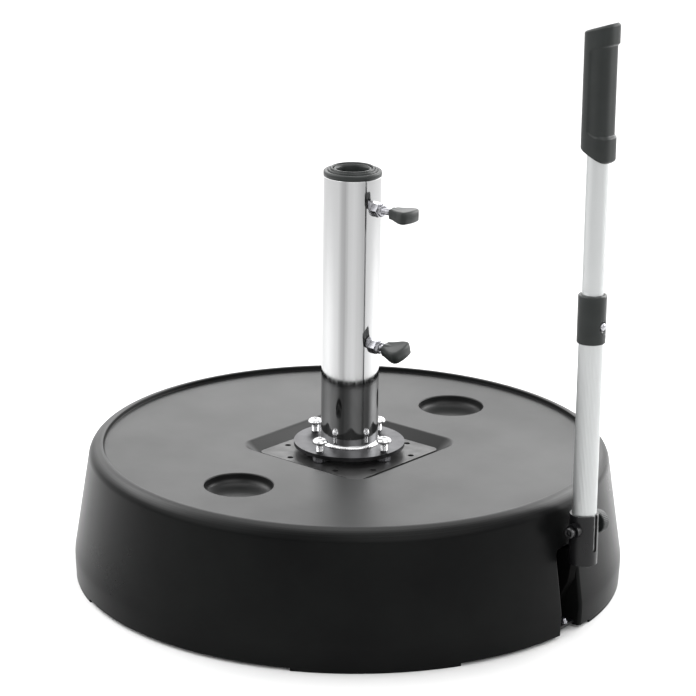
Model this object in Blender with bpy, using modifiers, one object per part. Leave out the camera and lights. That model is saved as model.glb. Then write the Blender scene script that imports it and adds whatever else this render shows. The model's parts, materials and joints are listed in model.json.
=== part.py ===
"""Rolling parasol base: a round ballast housing with a clamping tube, and a lever that lowers four casters.

Metres, +Z up. The origin is on the floor, on the tube's axis. +X points to the lifting lever.
The base is modelled standing on its feet: lever upright, casters just clear of the floor.
"""

import math

import bmesh
import bpy

GAP = 0.0003
QUARTER = math.pi / 2

# Housing
SHELL_TOP, DECK_Z, EDGE_Z = 0.1420, 0.1375, 0.0030
RIM_INNER_R, RIM_OUTER_R = 0.2575, 0.2725
SHOULDER_R, SHOULDER_START, SHOULDER_END = 0.0160, math.radians(78), math.radians(9)
BELLY_R, BELLY_Z, FOOT_R = 0.288, 0.026, 0.287
SHELL_WALL = 0.003
FOOT_ARCS = ((8, 63), (117, 151), (209, 243), (299, 333))
WELL_TOP_HALF, WELL_FLOOR_HALF, WELL_FLOOR_Z = 0.0835, 0.0683, 0.1247
WELL_HOLE_HALF = 0.055
CUP_Y, CUP_R, CUP_FLOOR_Z, CUP_FILLET = 0.172, 0.035, 0.1240, 0.006
SLOT_LOW_Y, SLOT_HIGH_Y, SLOT_TOP = -0.0075, 0.0235, 0.091

# Chassis and ballast
CHASSIS_R, CHASSIS_LOW, CHASSIS_TOP = 0.281, 0.0055, 0.0085
CENTRE_FOOT_R = 0.048
PLATE_HALF, PLATE_LOW, PLATE_TOP = 0.0675, 0.1250, 0.1300
POST_X, POST_Y, POST_R = 0.048, 0.028, 0.007
BALLAST_R = 0.262
SLAB_LOW, SLAB_TOP = 0.0720, 0.1205
CHANNEL_HALF = 0.054

# Clamping tube
TUBE_R, TUBE_BORE_R, TUBE_TOP = 0.030, 0.028, 0.427
FLANGE_R, FLANGE_LOW, FLANGE_TOP, FLANGE_BORE_R = 0.058, 0.1375, 0.1415, 0.006
SEAT_R, SEAT_RISE = 0.0270, 0.0005
CAP_TOP, CAP_BORE_R, SLEEVE_BORE_R, SLEEVE_LOW = 0.4355, 0.0205, 0.0165, 0.403
CAP_PLUG_DEPTH = 0.010
FLANGE_SCREW_CIRCLE, SCREW_R, HEAD_R, HEAD_LOW, HEAD_TOP = 0.047, 0.004, 0.008, 0.1500, 0.1550
SCREW_TAIL, LEVEL_NUT_R = 0.008, 0.0075
SPARE_HOLE_CIRCLE, SPARE_HOLE_R, SPARE_HOLE_TURN, DRAIN_R = 0.066, 0.0032, 0.30, 0.014

# Each clamping screw: its name, its height, where its wing begins and the angle that it rests at
WING_SCREWS = (("upper", 0.3965, 0.0538, 0.0), ("lower", 0.2512, 0.0462, math.radians(17)))
WELD_NUT_R, WELD_NUT_END, LOCK_NUT_R, LOCK_NUT_END = 0.0088, 0.0395, 0.0075, 0.0440
WING_SHANK_R, SHANK_START, SHANK_SEAT = 0.0035, 0.0240, 0.010
WING_LENGTH, WING_STEM_HALF, WING_HALF, WING_CORNER, WING_DEPTH = 0.0250, 0.0062, 0.0128, 0.0050, 0.0122

# Lever and handle
LEVER_Y, PIVOT_X, PIVOT_Z = 0.0130, 0.250, 0.0265
ARM_HALF, SHAFT_R = 0.006, 0.007
HANDLE_X = 0.2945
SOCKET_R, SOCKET_LOW, SOCKET_TOP, SLIT_LOW, SLIT_WIDTH = 0.0145, 0.078, 0.130, 0.092, 0.005
SOCKET_FLOOR = 0.0030
OUTER_TUBE_R, OUTER_TUBE_BORE_R, OUTER_TUBE_TOP = 0.0122, 0.0110, 0.346
INNER_TUBE_R, INNER_TUBE_BORE_R, INNER_TUBE_LOW = 0.0107, 0.0092, 0.246
COLLAR_R, COLLAR_LOW, COLLAR_TOP, BUTTON_Z, BUTTON_R = 0.0142, 0.307, 0.3555, 0.325, 0.004
CLAMP_Z, CLAMP_KNOB_R, CROSS_HOLE_R, BOSS_R = 0.115, 0.0118, 0.0040, 0.0075
CLAMP_HEAD_R, CLAMP_KNOB_DEPTH = 0.0052, 0.0100
GRIP_LOW, GRIP_TOP, GRIP_DEPTH, GRIP_WIDTH = 0.4917, 0.6197, 0.032, 0.029
GRIP_LOW_SLANT, GRIP_TOP_SLANT, GRIP_WAIST, GRIP_BORE_END = 0.0058, 0.0048, 0.0016, 0.012

# Lifting gear: a crank at the lever and a rocker behind it carry a level frame of casters
CRANK, CRANK_REST = 0.019, math.radians(28)
ROCKER_X = -0.200
CRANK_INNER_Y, CRANK_OUTER_Y, RAIL_INNER_Y, RAIL_OUTER_Y, PIN_END_Y = 0.0355, 0.0412, 0.042, 0.048, 0.050
PIN_R = 0.004
BRACKET_INNER_Y, BRACKET_OUTER_Y = 0.026, 0.031
RAIL_LOW, RAIL_TOP, CROSS_LOW = 0.029, 0.060, 0.0545
CASTER_OFFSET, CROSS_HALF, CROSS_REACH = 0.140, 0.022, 0.166
WHEEL_R, WHEEL_HALF, WHEEL_Z, TRAIL = 0.0205, 0.008, 0.0235, 0.010
WELL_CLEAR_R = 0.037
FORK_R, FORK_LOW, FORK_TOP, STEM_R, STEM_TOP = 0.0160, 0.0480, 0.0510, 0.0050, 0.0665
LEG_IN, LEG_OUT, AXLE_R, TREAD_CHAMFER = 0.0095, 0.0125, 0.0030, 0.0025

# The small screw on the chassis, just inside the slot
SLOT_SCREW_AT, SLOT_SCREW_R, SLOT_NUT_TOP, SLOT_SCREW_TOP = (0.2765, 0.0095), 0.0024, 0.0118, 0.0138

PIN_DX, PIN_DZ = CRANK * math.cos(CRANK_REST), CRANK * math.sin(CRANK_REST)

for leftover in list(bpy.data.objects):
    bpy.data.objects.remove(leftover, do_unlink=True)

PARTS = bpy.data.collections.new("parasol base")
TOOLS = bpy.data.collections.new("cutters")
bpy.context.scene.collection.children.link(PARTS)
bpy.context.scene.collection.children.link(TOOLS)


def material(name, colour, roughness, metallic=0.0):
    """A Principled material of one colour."""
    made = bpy.data.materials.new(name)
    made.use_nodes = True
    shader = made.node_tree.nodes["Principled BSDF"]
    shader.inputs["Base Color"].default_value = (*colour, 1)
    shader.inputs["Roughness"].default_value = roughness
    shader.inputs["Metallic"].default_value = metallic
    return made


SHELL_PLASTIC = material("black housing plastic", (0.020, 0.021, 0.021), 0.45)
GRIP_PLASTIC = material("dark grey plastic", (0.035, 0.040, 0.037), 0.45)
STAINLESS = material("polished stainless steel", (0.70, 0.70, 0.70), 0.12, 1.0)
ZINC = material("zinc-plated steel", (0.62, 0.63, 0.65), 0.30, 1.0)
ALUMINIUM = material("satin aluminium", (0.75, 0.76, 0.77), 0.35, 1.0)
BLACK_STEEL = material("black coated steel", (0.015, 0.015, 0.016), 0.35)
CONCRETE = material("concrete", (0.45, 0.44, 0.42), 0.95)
WHEEL_RUBBER = material("grey wheel rubber", (0.12, 0.12, 0.12), 0.75)


def place(name, mesh, finish=None):
    """An object from a mesh: a part when it has a finish, otherwise a hidden tool for a Boolean."""
    obj = bpy.data.objects.new(name, mesh)
    (PARTS if finish else TOOLS).objects.link(obj)
    if finish:
        mesh.materials.append(finish)
    else:
        obj.hide_render = True
        obj.display_type = "WIRE"
    mesh.shade_smooth()
    mesh.set_sharp_from_angle(angle=math.radians(35))
    return obj


def boolean(obj, other, operation):
    """Cuts other from obj, or joins it to obj."""
    modifier = obj.modifiers.new(other.name, "BOOLEAN")
    modifier.object = other
    modifier.operation = operation
    modifier.solver = "EXACT"


def cut(obj, *others):
    for other in others:
        boolean(obj, other, "DIFFERENCE")


def join(obj, *others):
    for other in others:
        boolean(obj, other, "UNION")


def box(name, low, high, finish=None, top_scale=1.0):
    """A box from its lowest to its highest corner. top_scale widens or narrows its upper face."""
    made = bmesh.new()
    bmesh.ops.create_cube(made, size=1)
    for vertex in made.verts:
        spread = top_scale if vertex.co.z > 0 else 1.0
        for axis in range(3):
            middle = (low[axis] + high[axis]) / 2
            side = (high[axis] - low[axis]) * (spread if axis < 2 else 1.0)
            vertex.co[axis] = middle + vertex.co[axis] * side
    mesh = bpy.data.meshes.new(name)
    made.to_mesh(mesh)
    made.free()
    return place(name, mesh, finish)


def rod(name, radius, start, end, finish=None, sides=24, axis="Z", at=(0, 0)):
    """A cylinder or, with six sides, a hexagonal bar along one axis. at is its place on the other two."""
    made = bmesh.new()
    bmesh.ops.create_cone(
        made, cap_ends=True, segments=sides, radius1=radius, radius2=radius, depth=end - start
    )
    mesh = bpy.data.meshes.new(name)
    made.to_mesh(mesh)
    made.free()
    obj = place(name, mesh, finish)
    middle = (start + end) / 2
    if axis == "X":
        obj.location = (middle, *at)
        obj.rotation_euler = (0, QUARTER, 0)
    elif axis == "Y":
        obj.location = (at[0], middle, at[1])
        obj.rotation_euler = (-QUARTER, 0, 0)
    else:
        obj.location = (*at, middle)
    return obj


def turned(name, profile, finish=None, steps=48, closed=True):
    """A turned body. profile lists (radius, height), down the outer side and up the inner one."""
    mesh = bpy.data.meshes.new(name)
    count = len(profile)
    edges = [(i, (i + 1) % count) for i in range(count if closed else count - 1)]
    mesh.from_pydata([(r, 0, z) for r, z in profile], edges, [])
    obj = place(name, mesh, finish)
    screw = obj.modifiers.new("turn", "SCREW")
    screw.steps = steps
    screw.render_steps = steps
    screw.use_merge_vertices = True
    screw.merge_threshold = 0.00001
    screw.use_smooth_shade = True
    return obj


def plate(name, outline, low, high, finish=None, plane="XY"):
    """A flat outline with a thickness. In plane XZ the outline is (x, z), and low and high are y."""
    curve = bpy.data.curves.new(name, "CURVE")
    curve.dimensions = "2D"
    curve.fill_mode = "BOTH"
    curve.extrude = (high - low) / 2
    spline = curve.splines.new("POLY")
    spline.points.add(len(outline) - 1)
    for point, (across, up) in zip(spline.points, outline):
        point.co = (across, up, 0, 1)
    spline.use_cyclic_u = True
    sketch = bpy.data.objects.new(name + " sketch", curve)
    PARTS.objects.link(sketch)
    evaluated = sketch.evaluated_get(bpy.context.evaluated_depsgraph_get())
    mesh = bpy.data.meshes.new_from_object(evaluated)
    bpy.data.objects.remove(sketch, do_unlink=True)
    bpy.data.curves.remove(curve)
    solid = bmesh.new()
    solid.from_mesh(mesh)
    bmesh.ops.remove_doubles(solid, verts=solid.verts, dist=0.000001)
    bmesh.ops.recalc_face_normals(solid, faces=solid.faces)
    solid.to_mesh(mesh)
    solid.free()
    mesh.materials.clear()
    obj = place(name, mesh, finish)
    middle = (low + high) / 2
    if plane == "XZ":
        obj.location = (0, middle, 0)
        obj.rotation_euler = (QUARTER, 0, 0)
    else:
        obj.location = (0, 0, middle)
    return obj


def arc(centre, radius, start, end, count):
    """Points on a circle from angle start to angle end, in radians."""
    step = (end - start) / (count - 1)
    return [
        (
            centre[0] + radius * math.cos(start + step * i),
            centre[1] + radius * math.sin(start + step * i),
        )
        for i in range(count)
    ]


def rounded_rectangle(low, high, radius, count=5):
    """The outline of a rectangle with round corners, anticlockwise."""
    corners = ((high[0], high[1]), (low[0], high[1]), (low[0], low[1]), (high[0], low[1]))
    points = []
    for i, (x, y) in enumerate(corners):
        centre_x = x - math.copysign(radius, x - low[0] - radius)
        centre_y = y - math.copysign(radius, y - low[1] - radius)
        points += arc((centre_x, centre_y), radius, i * QUARTER, (i + 1) * QUARTER, count)
    return points


def link_outline(first, first_r, second, second_r, count=6):
    """The outline of a flat link: two round ends joined by their common tangents."""
    along = math.atan2(second[1] - first[1], second[0] - first[0])
    spread = math.acos((first_r - second_r) / math.dist(first, second))
    far = arc(second, second_r, along - spread, along + spread, count)
    near = arc(first, first_r, along + spread, along - spread + 2 * math.pi, count)
    return far + near


def ring_sector(inner_r, outer_r, start, end, count=6):
    """The outline of a piece of a ring between two angles in degrees."""
    start, end = math.radians(start), math.radians(end)
    return arc((0, 0), outer_r, start, end, count) + arc((0, 0), inner_r, end, start, count)


def chord_disc(radius, chord, side):
    """The outline of the part of a disc beyond a chord at y = side * chord."""
    reach = math.asin(chord / radius)
    points = arc((0, 0), radius, reach, math.pi - reach, 17)
    return points if side > 0 else [(x, -y) for x, y in reversed(points)]


def base_shell():
    """The moulded housing: rim, sunk deck, sloping wall, square well, two cups, lever slot and feet."""
    shoulder_r = RIM_OUTER_R - SHOULDER_R * math.cos(SHOULDER_END)
    shoulder = (shoulder_r, SHELL_TOP - SHOULDER_R * math.sin(SHOULDER_START))
    rim_edge = arc(shoulder, SHOULDER_R, SHOULDER_START, SHOULDER_END, 6)
    inside = RIM_OUTER_R - SHELL_WALL
    profile = [
        (WELL_HOLE_HALF - 0.005, DECK_Z),
        (RIM_INNER_R - 0.0015, DECK_Z),
        (RIM_INNER_R, SHELL_TOP - 0.001),
        (RIM_INNER_R + 0.001, SHELL_TOP),
        *rim_edge,
        (BELLY_R, BELLY_Z),
        (FOOT_R, EDGE_Z),
        (FOOT_R - SHELL_WALL, EDGE_Z),
        (BELLY_R - SHELL_WALL, BELLY_Z),
        (inside, DECK_Z - SHELL_WALL),
        (WELL_HOLE_HALF - 0.005, DECK_Z - SHELL_WALL),
    ]
    shell = turned("base_shell", profile, SHELL_PLASTIC, 64)
    well_low = WELL_FLOOR_Z - SHELL_WALL
    half = WELL_FLOOR_HALF + SHELL_WALL
    well = box(
        "well body", (-half, -half, well_low), (half, half, DECK_Z - GAP), None,
        (WELL_TOP_HALF + SHELL_WALL) / half,
    )
    join(shell, well)
    for side, name in ((1, "right"), (-1, "left")):
        cup = rod(f"{name} cup body", CUP_R + SHELL_WALL, CUP_FLOOR_Z - SHELL_WALL, DECK_Z - GAP,
                  sides=28, at=(0, side * CUP_Y))
        join(shell, cup)
    half = WELL_FLOOR_HALF
    opening = DECK_Z + 0.001
    slope = (WELL_TOP_HALF - WELL_FLOOR_HALF) / (DECK_Z - WELL_FLOOR_Z)
    top_half = WELL_FLOOR_HALF + slope * (opening - WELL_FLOOR_Z)
    cavity = plate("well cavity", rounded_rectangle((-half, -half), (half, half), 0.010, 4),
                   WELL_FLOOR_Z, opening)
    for vertex in cavity.data.vertices:
        if vertex.co.z > 0:
            vertex.co.x *= top_half / half
            vertex.co.y *= top_half / half
    hole = box("well hole", (-WELL_HOLE_HALF, -WELL_HOLE_HALF, well_low - 0.001),
               (WELL_HOLE_HALF, WELL_HOLE_HALF, opening))
    cut(shell, cavity, hole)
    for side, name in ((1, "right"), (-1, "left")):
        fillet = arc((CUP_R - CUP_FILLET, CUP_FLOOR_Z + CUP_FILLET), CUP_FILLET, 0, -QUARTER, 4)
        cup = turned(f"{name} cup cavity", [(0, opening), (CUP_R, opening), *fillet, (0, CUP_FLOOR_Z)],
                     None, 28, closed=False)
        cup.location.y = side * CUP_Y
        cut(shell, cup)
    slot_outline = rounded_rectangle((SLOT_LOW_Y, -0.040), (SLOT_HIGH_Y, SLOT_TOP), 0.005)
    slot = plate("lever slot", slot_outline, -0.05, 0.05)
    slot.rotation_euler = (QUARTER, 0, QUARTER)
    slot.location = (0.290, 0, 0)
    cut(shell, slot)
    for number, (start, end) in enumerate(FOOT_ARCS):
        sector = ring_sector(FOOT_R - SHELL_WALL + GAP, FOOT_R - GAP, start, end)
        foot = plate(f"foot {number}", sector, 0, EDGE_Z + 0.0005)
        join(shell, foot)


def chassis_plate():
    """The steel floor plate, pressed down to the floor at its centre."""
    profile = [
        (0, CHASSIS_TOP - CHASSIS_LOW),
        (CENTRE_FOOT_R, CHASSIS_TOP - CHASSIS_LOW),
        (CENTRE_FOOT_R + 0.010, CHASSIS_TOP),
        (CHASSIS_R, CHASSIS_TOP),
        (CHASSIS_R, CHASSIS_LOW),
        (CENTRE_FOOT_R + 0.0115, CHASSIS_LOW),
        (CENTRE_FOOT_R + 0.0015, 0),
        (0, 0),
    ]
    chassis = turned("chassis_plate", profile, BLACK_STEEL, 40, closed=False)
    for name, x, y in caster_places():
        cut(chassis, rod(f"{name} wheel hole", WELL_CLEAR_R, 0, 0.02, sides=20, at=(x, y)))


def caster_places():
    """The name and place of each caster."""
    names = {(1, 1): "front_right", (1, -1): "front_left", (-1, 1): "rear_right", (-1, -1): "rear_left"}
    return [(name, x * CASTER_OFFSET, y * CASTER_OFFSET) for (x, y), name in names.items()]


def ballast():
    """A concrete slab under the deck and two shaped blocks beside the lifting gear."""
    slab = rod("ballast_slab", BALLAST_R, SLAB_LOW, SLAB_TOP, CONCRETE, 40)
    opening = box("slab opening", (-0.062, -0.062, 0.05), (0.062, 0.062, 0.13))
    notch = box("slab notch", (PIVOT_X - 0.014, SLOT_LOW_Y - 0.006, 0.05),
                (0.30, SLOT_HIGH_Y + 0.006, 0.13))
    cut(slab, opening, notch)
    for side, name in ((1, "right"), (-1, "left")):
        block = plate(f"ballast_{name}", chord_disc(BALLAST_R, CHANNEL_HALF, side),
                      CHASSIS_TOP + GAP, SLAB_LOW - GAP, CONCRETE)
        for corner, x, y in caster_places():
            if y * side > 0:
                low, high = sorted((side * 0.050, side * (CROSS_REACH + 0.006)))
                groove = box(f"{corner} groove", (x - CROSS_HALF - 0.006, low, 0.032),
                             (x + CROSS_HALF + 0.006, high, 0.09))
                well = rod(f"{corner} ballast well", WELL_CLEAR_R + 0.004, 0, 0.09, sides=20, at=(x, y))
                cut(block, groove, well)


def mounting_plate():
    """The steel plate in the well: four tapped holes for the flange and a ring of spare holes."""
    outline = rounded_rectangle((-PLATE_HALF, -PLATE_HALF), (PLATE_HALF, PLATE_HALF), 0.008, 4)
    made = plate("mounting_plate", outline, PLATE_LOW, PLATE_TOP, BLACK_STEEL)
    cut(made, rod("plate drain", DRAIN_R, PLATE_LOW - 0.005, PLATE_TOP + 0.005))
    for number in range(4):
        angle = number * QUARTER
        at = (FLANGE_SCREW_CIRCLE * math.cos(angle), FLANGE_SCREW_CIRCLE * math.sin(angle))
        cut(made, rod(f"plate screw hole {number}", SCREW_R + GAP, PLATE_LOW - 0.005, PLATE_TOP + 0.005,
                      sides=12, at=at))
        for turn in (-SPARE_HOLE_TURN, SPARE_HOLE_TURN):
            angle = (number + 0.5) * QUARTER + turn
            at = (SPARE_HOLE_CIRCLE * math.cos(angle), SPARE_HOLE_CIRCLE * math.sin(angle))
            cut(made, rod(f"spare hole {number} {turn}", SPARE_HOLE_R, PLATE_LOW - 0.005, PLATE_TOP + 0.005,
                          sides=8, at=at))
    for x in (-1, 1):
        for y in (-1, 1):
            name = ("rear" if x < 0 else "front") + ("_left" if y < 0 else "_right")
            rod(f"plate_post_{name}", POST_R, CHASSIS_TOP + GAP, PLATE_LOW - GAP, BLACK_STEEL, 12,
                at=(x * POST_X, y * POST_Y))


def flange_and_screws():
    """The tube's flange with a raised seat for the pole, on four button-head screws and levelling nuts."""
    flange = turned(
        "tube_flange",
        [(FLANGE_BORE_R, FLANGE_TOP + SEAT_RISE), (SEAT_R, FLANGE_TOP + SEAT_RISE), (SEAT_R, FLANGE_TOP),
         (FLANGE_R - 0.0006, FLANGE_TOP), (FLANGE_R, FLANGE_TOP - 0.0006), (FLANGE_R, FLANGE_LOW),
         (FLANGE_BORE_R, FLANGE_LOW)],
        STAINLESS, 40,
    )
    tail = PLATE_LOW - SCREW_TAIL
    head = [(0, HEAD_TOP), (HEAD_R * 0.45, HEAD_TOP - 0.0003), (HEAD_R * 0.80, HEAD_TOP - 0.0016),
            (HEAD_R, HEAD_LOW + 0.0012), (HEAD_R, HEAD_LOW), (SCREW_R, HEAD_LOW),
            (SCREW_R, tail), (0, tail)]
    for number in range(4):
        angle = number * QUARTER
        at = (FLANGE_SCREW_CIRCLE * math.cos(angle), FLANGE_SCREW_CIRCLE * math.sin(angle))
        cut(flange, rod(f"flange hole {number}", SCREW_R + GAP, 0.13, 0.15, sides=12, at=at))
        screw = turned(f"flange_screw_{number + 1}", head, STAINLESS, 12, closed=False)
        screw.location = (*at, 0)
        nut = rod(f"levelling_nut_{number + 1}", LEVEL_NUT_R, PLATE_TOP + GAP, FLANGE_LOW - GAP, ZINC, 6,
                  at=at)
        cut(nut, rod(f"levelling nut bore {number}", SCREW_R + GAP, 0.12, 0.15, sides=12, at=at))


def stand_tube():
    """The upright tube with its weld bead, end cap and reducing sleeve."""
    tube = turned("stand_tube", [(TUBE_R, TUBE_TOP), (TUBE_R, FLANGE_TOP + GAP),
                                 (TUBE_BORE_R, FLANGE_TOP + GAP), (TUBE_BORE_R, TUBE_TOP)], STAINLESS, 40)
    for name, z, _, _ in WING_SCREWS:
        hole = rod(f"{name} tube hole", WING_SHANK_R + 0.0009, 0.02, 0.04, sides=12, axis="X", at=(0, z))
        cut(tube, hole)
    foot = FLANGE_TOP + GAP
    turned("weld_bead", [(TUBE_R + GAP, foot + 0.0028), (TUBE_R + 0.0022, foot + 0.0016),
                         (TUBE_R + 0.0032, foot), (TUBE_R + GAP, foot)], STAINLESS, 32)
    seat = TUBE_TOP + GAP
    plug = TUBE_BORE_R - GAP
    turned(
        "tube_cap",
        [(0.0225, CAP_TOP), (0.0245, CAP_TOP - 0.0006), (0.0250, CAP_TOP - 0.0020),
         (0.0278, CAP_TOP - 0.0030), (TUBE_R, CAP_TOP - 0.0050), (TUBE_R, seat), (plug, seat),
         (plug, seat - CAP_PLUG_DEPTH), (CAP_BORE_R + 0.003, seat - CAP_PLUG_DEPTH),
         (CAP_BORE_R, seat - CAP_PLUG_DEPTH + 0.002),
         (CAP_BORE_R, CAP_TOP - 0.0008), (CAP_BORE_R + 0.0008, CAP_TOP)],
        GRIP_PLASTIC, 32,
    )
    turned(
        "reducer_sleeve",
        [(SLEEVE_BORE_R + 0.0015, CAP_TOP - 0.0010), (CAP_BORE_R - GAP, CAP_TOP - 0.0025),
         (CAP_BORE_R - GAP, SLEEVE_LOW), (SLEEVE_BORE_R, SLEEVE_LOW), (SLEEVE_BORE_R, CAP_TOP - 0.0020)],
        GRIP_PLASTIC, 32,
    )


def wing_outline(start):
    """The plan of a wing knob: a fan that widens from its stem to a rounded outer edge."""
    end = start + WING_LENGTH
    corner = (end - WING_CORNER - 0.001, WING_CORNER - WING_HALF)
    edge = arc(corner, WING_CORNER, math.radians(-110), math.radians(-15), 4)
    lower = [(start, -WING_STEM_HALF), *edge]
    return [*lower, (end, 0), *[(x, -y) for x, y in reversed(lower)]]


def wing_screws():
    """Two clamping screws with moulded wing knobs, each in a nut welded to the tube."""
    for name, z, wing_start, rest_angle in WING_SCREWS:
        at = (0, z)
        hole_r = WING_SHANK_R + GAP
        nut = rod(f"weld_nut_{name}", WELD_NUT_R, 0.026, WELD_NUT_END, ZINC, 6, "X", at)
        cut(nut, rod(f"{name} nut saddle", TUBE_R + GAP, z - 0.02, z + 0.02, sides=40))
        cut(nut, rod(f"{name} nut bore", hole_r, 0.02, 0.05, sides=12, axis="X", at=at))
        thin = rod(f"lock_nut_{name}", LOCK_NUT_R, WELD_NUT_END + GAP, LOCK_NUT_END, ZINC, 6, "X", at)
        cut(thin, rod(f"{name} lock nut bore", hole_r, 0.03, 0.05, sides=12, axis="X", at=at))
        shank_end = wing_start + SHANK_SEAT
        rod(f"screw_shank_{name}", WING_SHANK_R, SHANK_START, shank_end, ZINC, 16, "X", at)
        knob = plate(f"wing_knob_{name}", wing_outline(wing_start), z - WING_DEPTH / 2, z + WING_DEPTH / 2,
                     GRIP_PLASTIC)
        knob.rotation_euler = (rest_angle, 0, 0)
        rounding = knob.modifiers.new("rounding", "BEVEL")
        rounding.width = 0.0022
        rounding.segments = 2
        rounding.limit_method = "ANGLE"
        rounding.angle_limit = math.radians(50)
        cut(knob, rod(f"{name} knob bore", hole_r, 0.04, shank_end + GAP, sides=12, axis="X", at=at))


def crank_set(name, x, finish):
    """A shaft across the base with a crank and a pin at each end."""
    shaft = rod(name, SHAFT_R, -CRANK_OUTER_Y, CRANK_OUTER_Y, finish, 16, "Y", (x, PIVOT_Z))
    pin = (x + PIN_DX, PIVOT_Z + PIN_DZ)
    outline = link_outline((x, PIVOT_Z), 0.0105, pin, 0.0066)
    for side, hand in ((1, "right"), (-1, "left")):
        low, high = sorted((side * CRANK_INNER_Y, side * (CRANK_OUTER_Y - 0.0001)))
        join(shaft, plate(f"{name} {hand} crank", outline, low, high, None, "XZ"))
        low, high = sorted((side * (CRANK_INNER_Y + 0.001), side * PIN_END_Y))
        join(shaft, rod(f"{name} {hand} pin", PIN_R, low, high, sides=12, axis="Y", at=pin))


def brackets(where, x):
    """Two plates on the chassis that carry a crank shaft."""
    for side, hand in ((1, "right"), (-1, "left")):
        low, high = sorted((side * BRACKET_INNER_Y, side * BRACKET_OUTER_Y))
        foot = CHASSIS_TOP + GAP
        outline = [(x - 0.016, foot), (x + 0.016, foot), *arc((x, PIVOT_Z), 0.012, 0, math.pi, 9)]
        bracket = plate(f"{where}_bracket_{hand}", outline, low, high, BLACK_STEEL, "XZ")
        cut(bracket, rod(f"{where} {hand} bearing", SHAFT_R + GAP, -0.06, 0.06, sides=16, axis="Y",
                         at=(x, PIVOT_Z)))


def lever():
    """The foot of the lever: crank shaft, cranked arm through the slot, and the split socket."""
    crank_set("lever_shaft", PIVOT_X, BLACK_STEEL)
    arm_top = SLOT_TOP - 0.0025
    outline = [
        *arc((PIVOT_X, PIVOT_Z), 0.0125, math.radians(130), math.radians(300), 9),
        (PIVOT_X + 0.022, PIVOT_Z + 0.010),
        (HANDLE_X - 0.0130, 0.055),
        (HANDLE_X - 0.0095, SOCKET_LOW - GAP),
        (HANDLE_X - 0.0095, arm_top),
        (PIVOT_X + 0.017, arm_top),
        (PIVOT_X + 0.008, arm_top - 0.020),
    ]
    arm = plate("lever_arm", outline, LEVER_Y - ARM_HALF, LEVER_Y + ARM_HALF, BLACK_STEEL, "XZ")
    centre = (HANDLE_X, LEVER_Y)
    cut(arm, rod("arm bore", SHAFT_R + GAP, -0.03, 0.06, sides=16, axis="Y", at=(PIVOT_X, PIVOT_Z)))
    cut(arm, rod("arm saddle", SOCKET_R + GAP, SOCKET_LOW - GAP, SOCKET_TOP, sides=28, at=centre))

    socket = rod("lever_socket", SOCKET_R, SOCKET_LOW, SOCKET_TOP, BLACK_STEEL, 28, at=centre)
    boss = rod("socket boss", BOSS_R, LEVER_Y - 0.0195, LEVER_Y, sides=16, axis="Y",
               at=(HANDLE_X, CLAMP_Z))
    join(socket, boss)
    bore = rod("socket bore", OUTER_TUBE_R + GAP, SOCKET_LOW + SOCKET_FLOOR, 0.2, sides=28, at=centre)
    slit = box("socket slit", (HANDLE_X, LEVER_Y - SLIT_WIDTH / 2, SLIT_LOW),
               (HANDLE_X + 0.02, LEVER_Y + SLIT_WIDTH / 2, 0.2))
    cross = rod("socket cross hole", CROSS_HOLE_R, -0.05, 0.06, sides=12, axis="Y", at=(HANDLE_X, CLAMP_Z))
    cut(socket, bore, slit, cross)

    bolt = rod("clamp_bolt", 0.0035, LEVER_Y - 0.0215, LEVER_Y + 0.0250, ZINC, 16, "Y", (HANDLE_X, CLAMP_Z))
    head = rod("clamp bolt head", CLAMP_HEAD_R, LEVER_Y - 0.0260, LEVER_Y - 0.0199, sides=20, axis="Y",
               at=(HANDLE_X, CLAMP_Z))
    join(bolt, head)
    knob_start = LEVER_Y + 0.0180
    knob = rod("clamp_knob", CLAMP_KNOB_R, knob_start, knob_start + CLAMP_KNOB_DEPTH, GRIP_PLASTIC, 24, "Y",
               (HANDLE_X, CLAMP_Z))
    cut(knob, rod("clamp knob bore", 0.0038, 0.02, LEVER_Y + 0.0255, sides=16, axis="Y",
                  at=(HANDLE_X, CLAMP_Z)))


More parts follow.
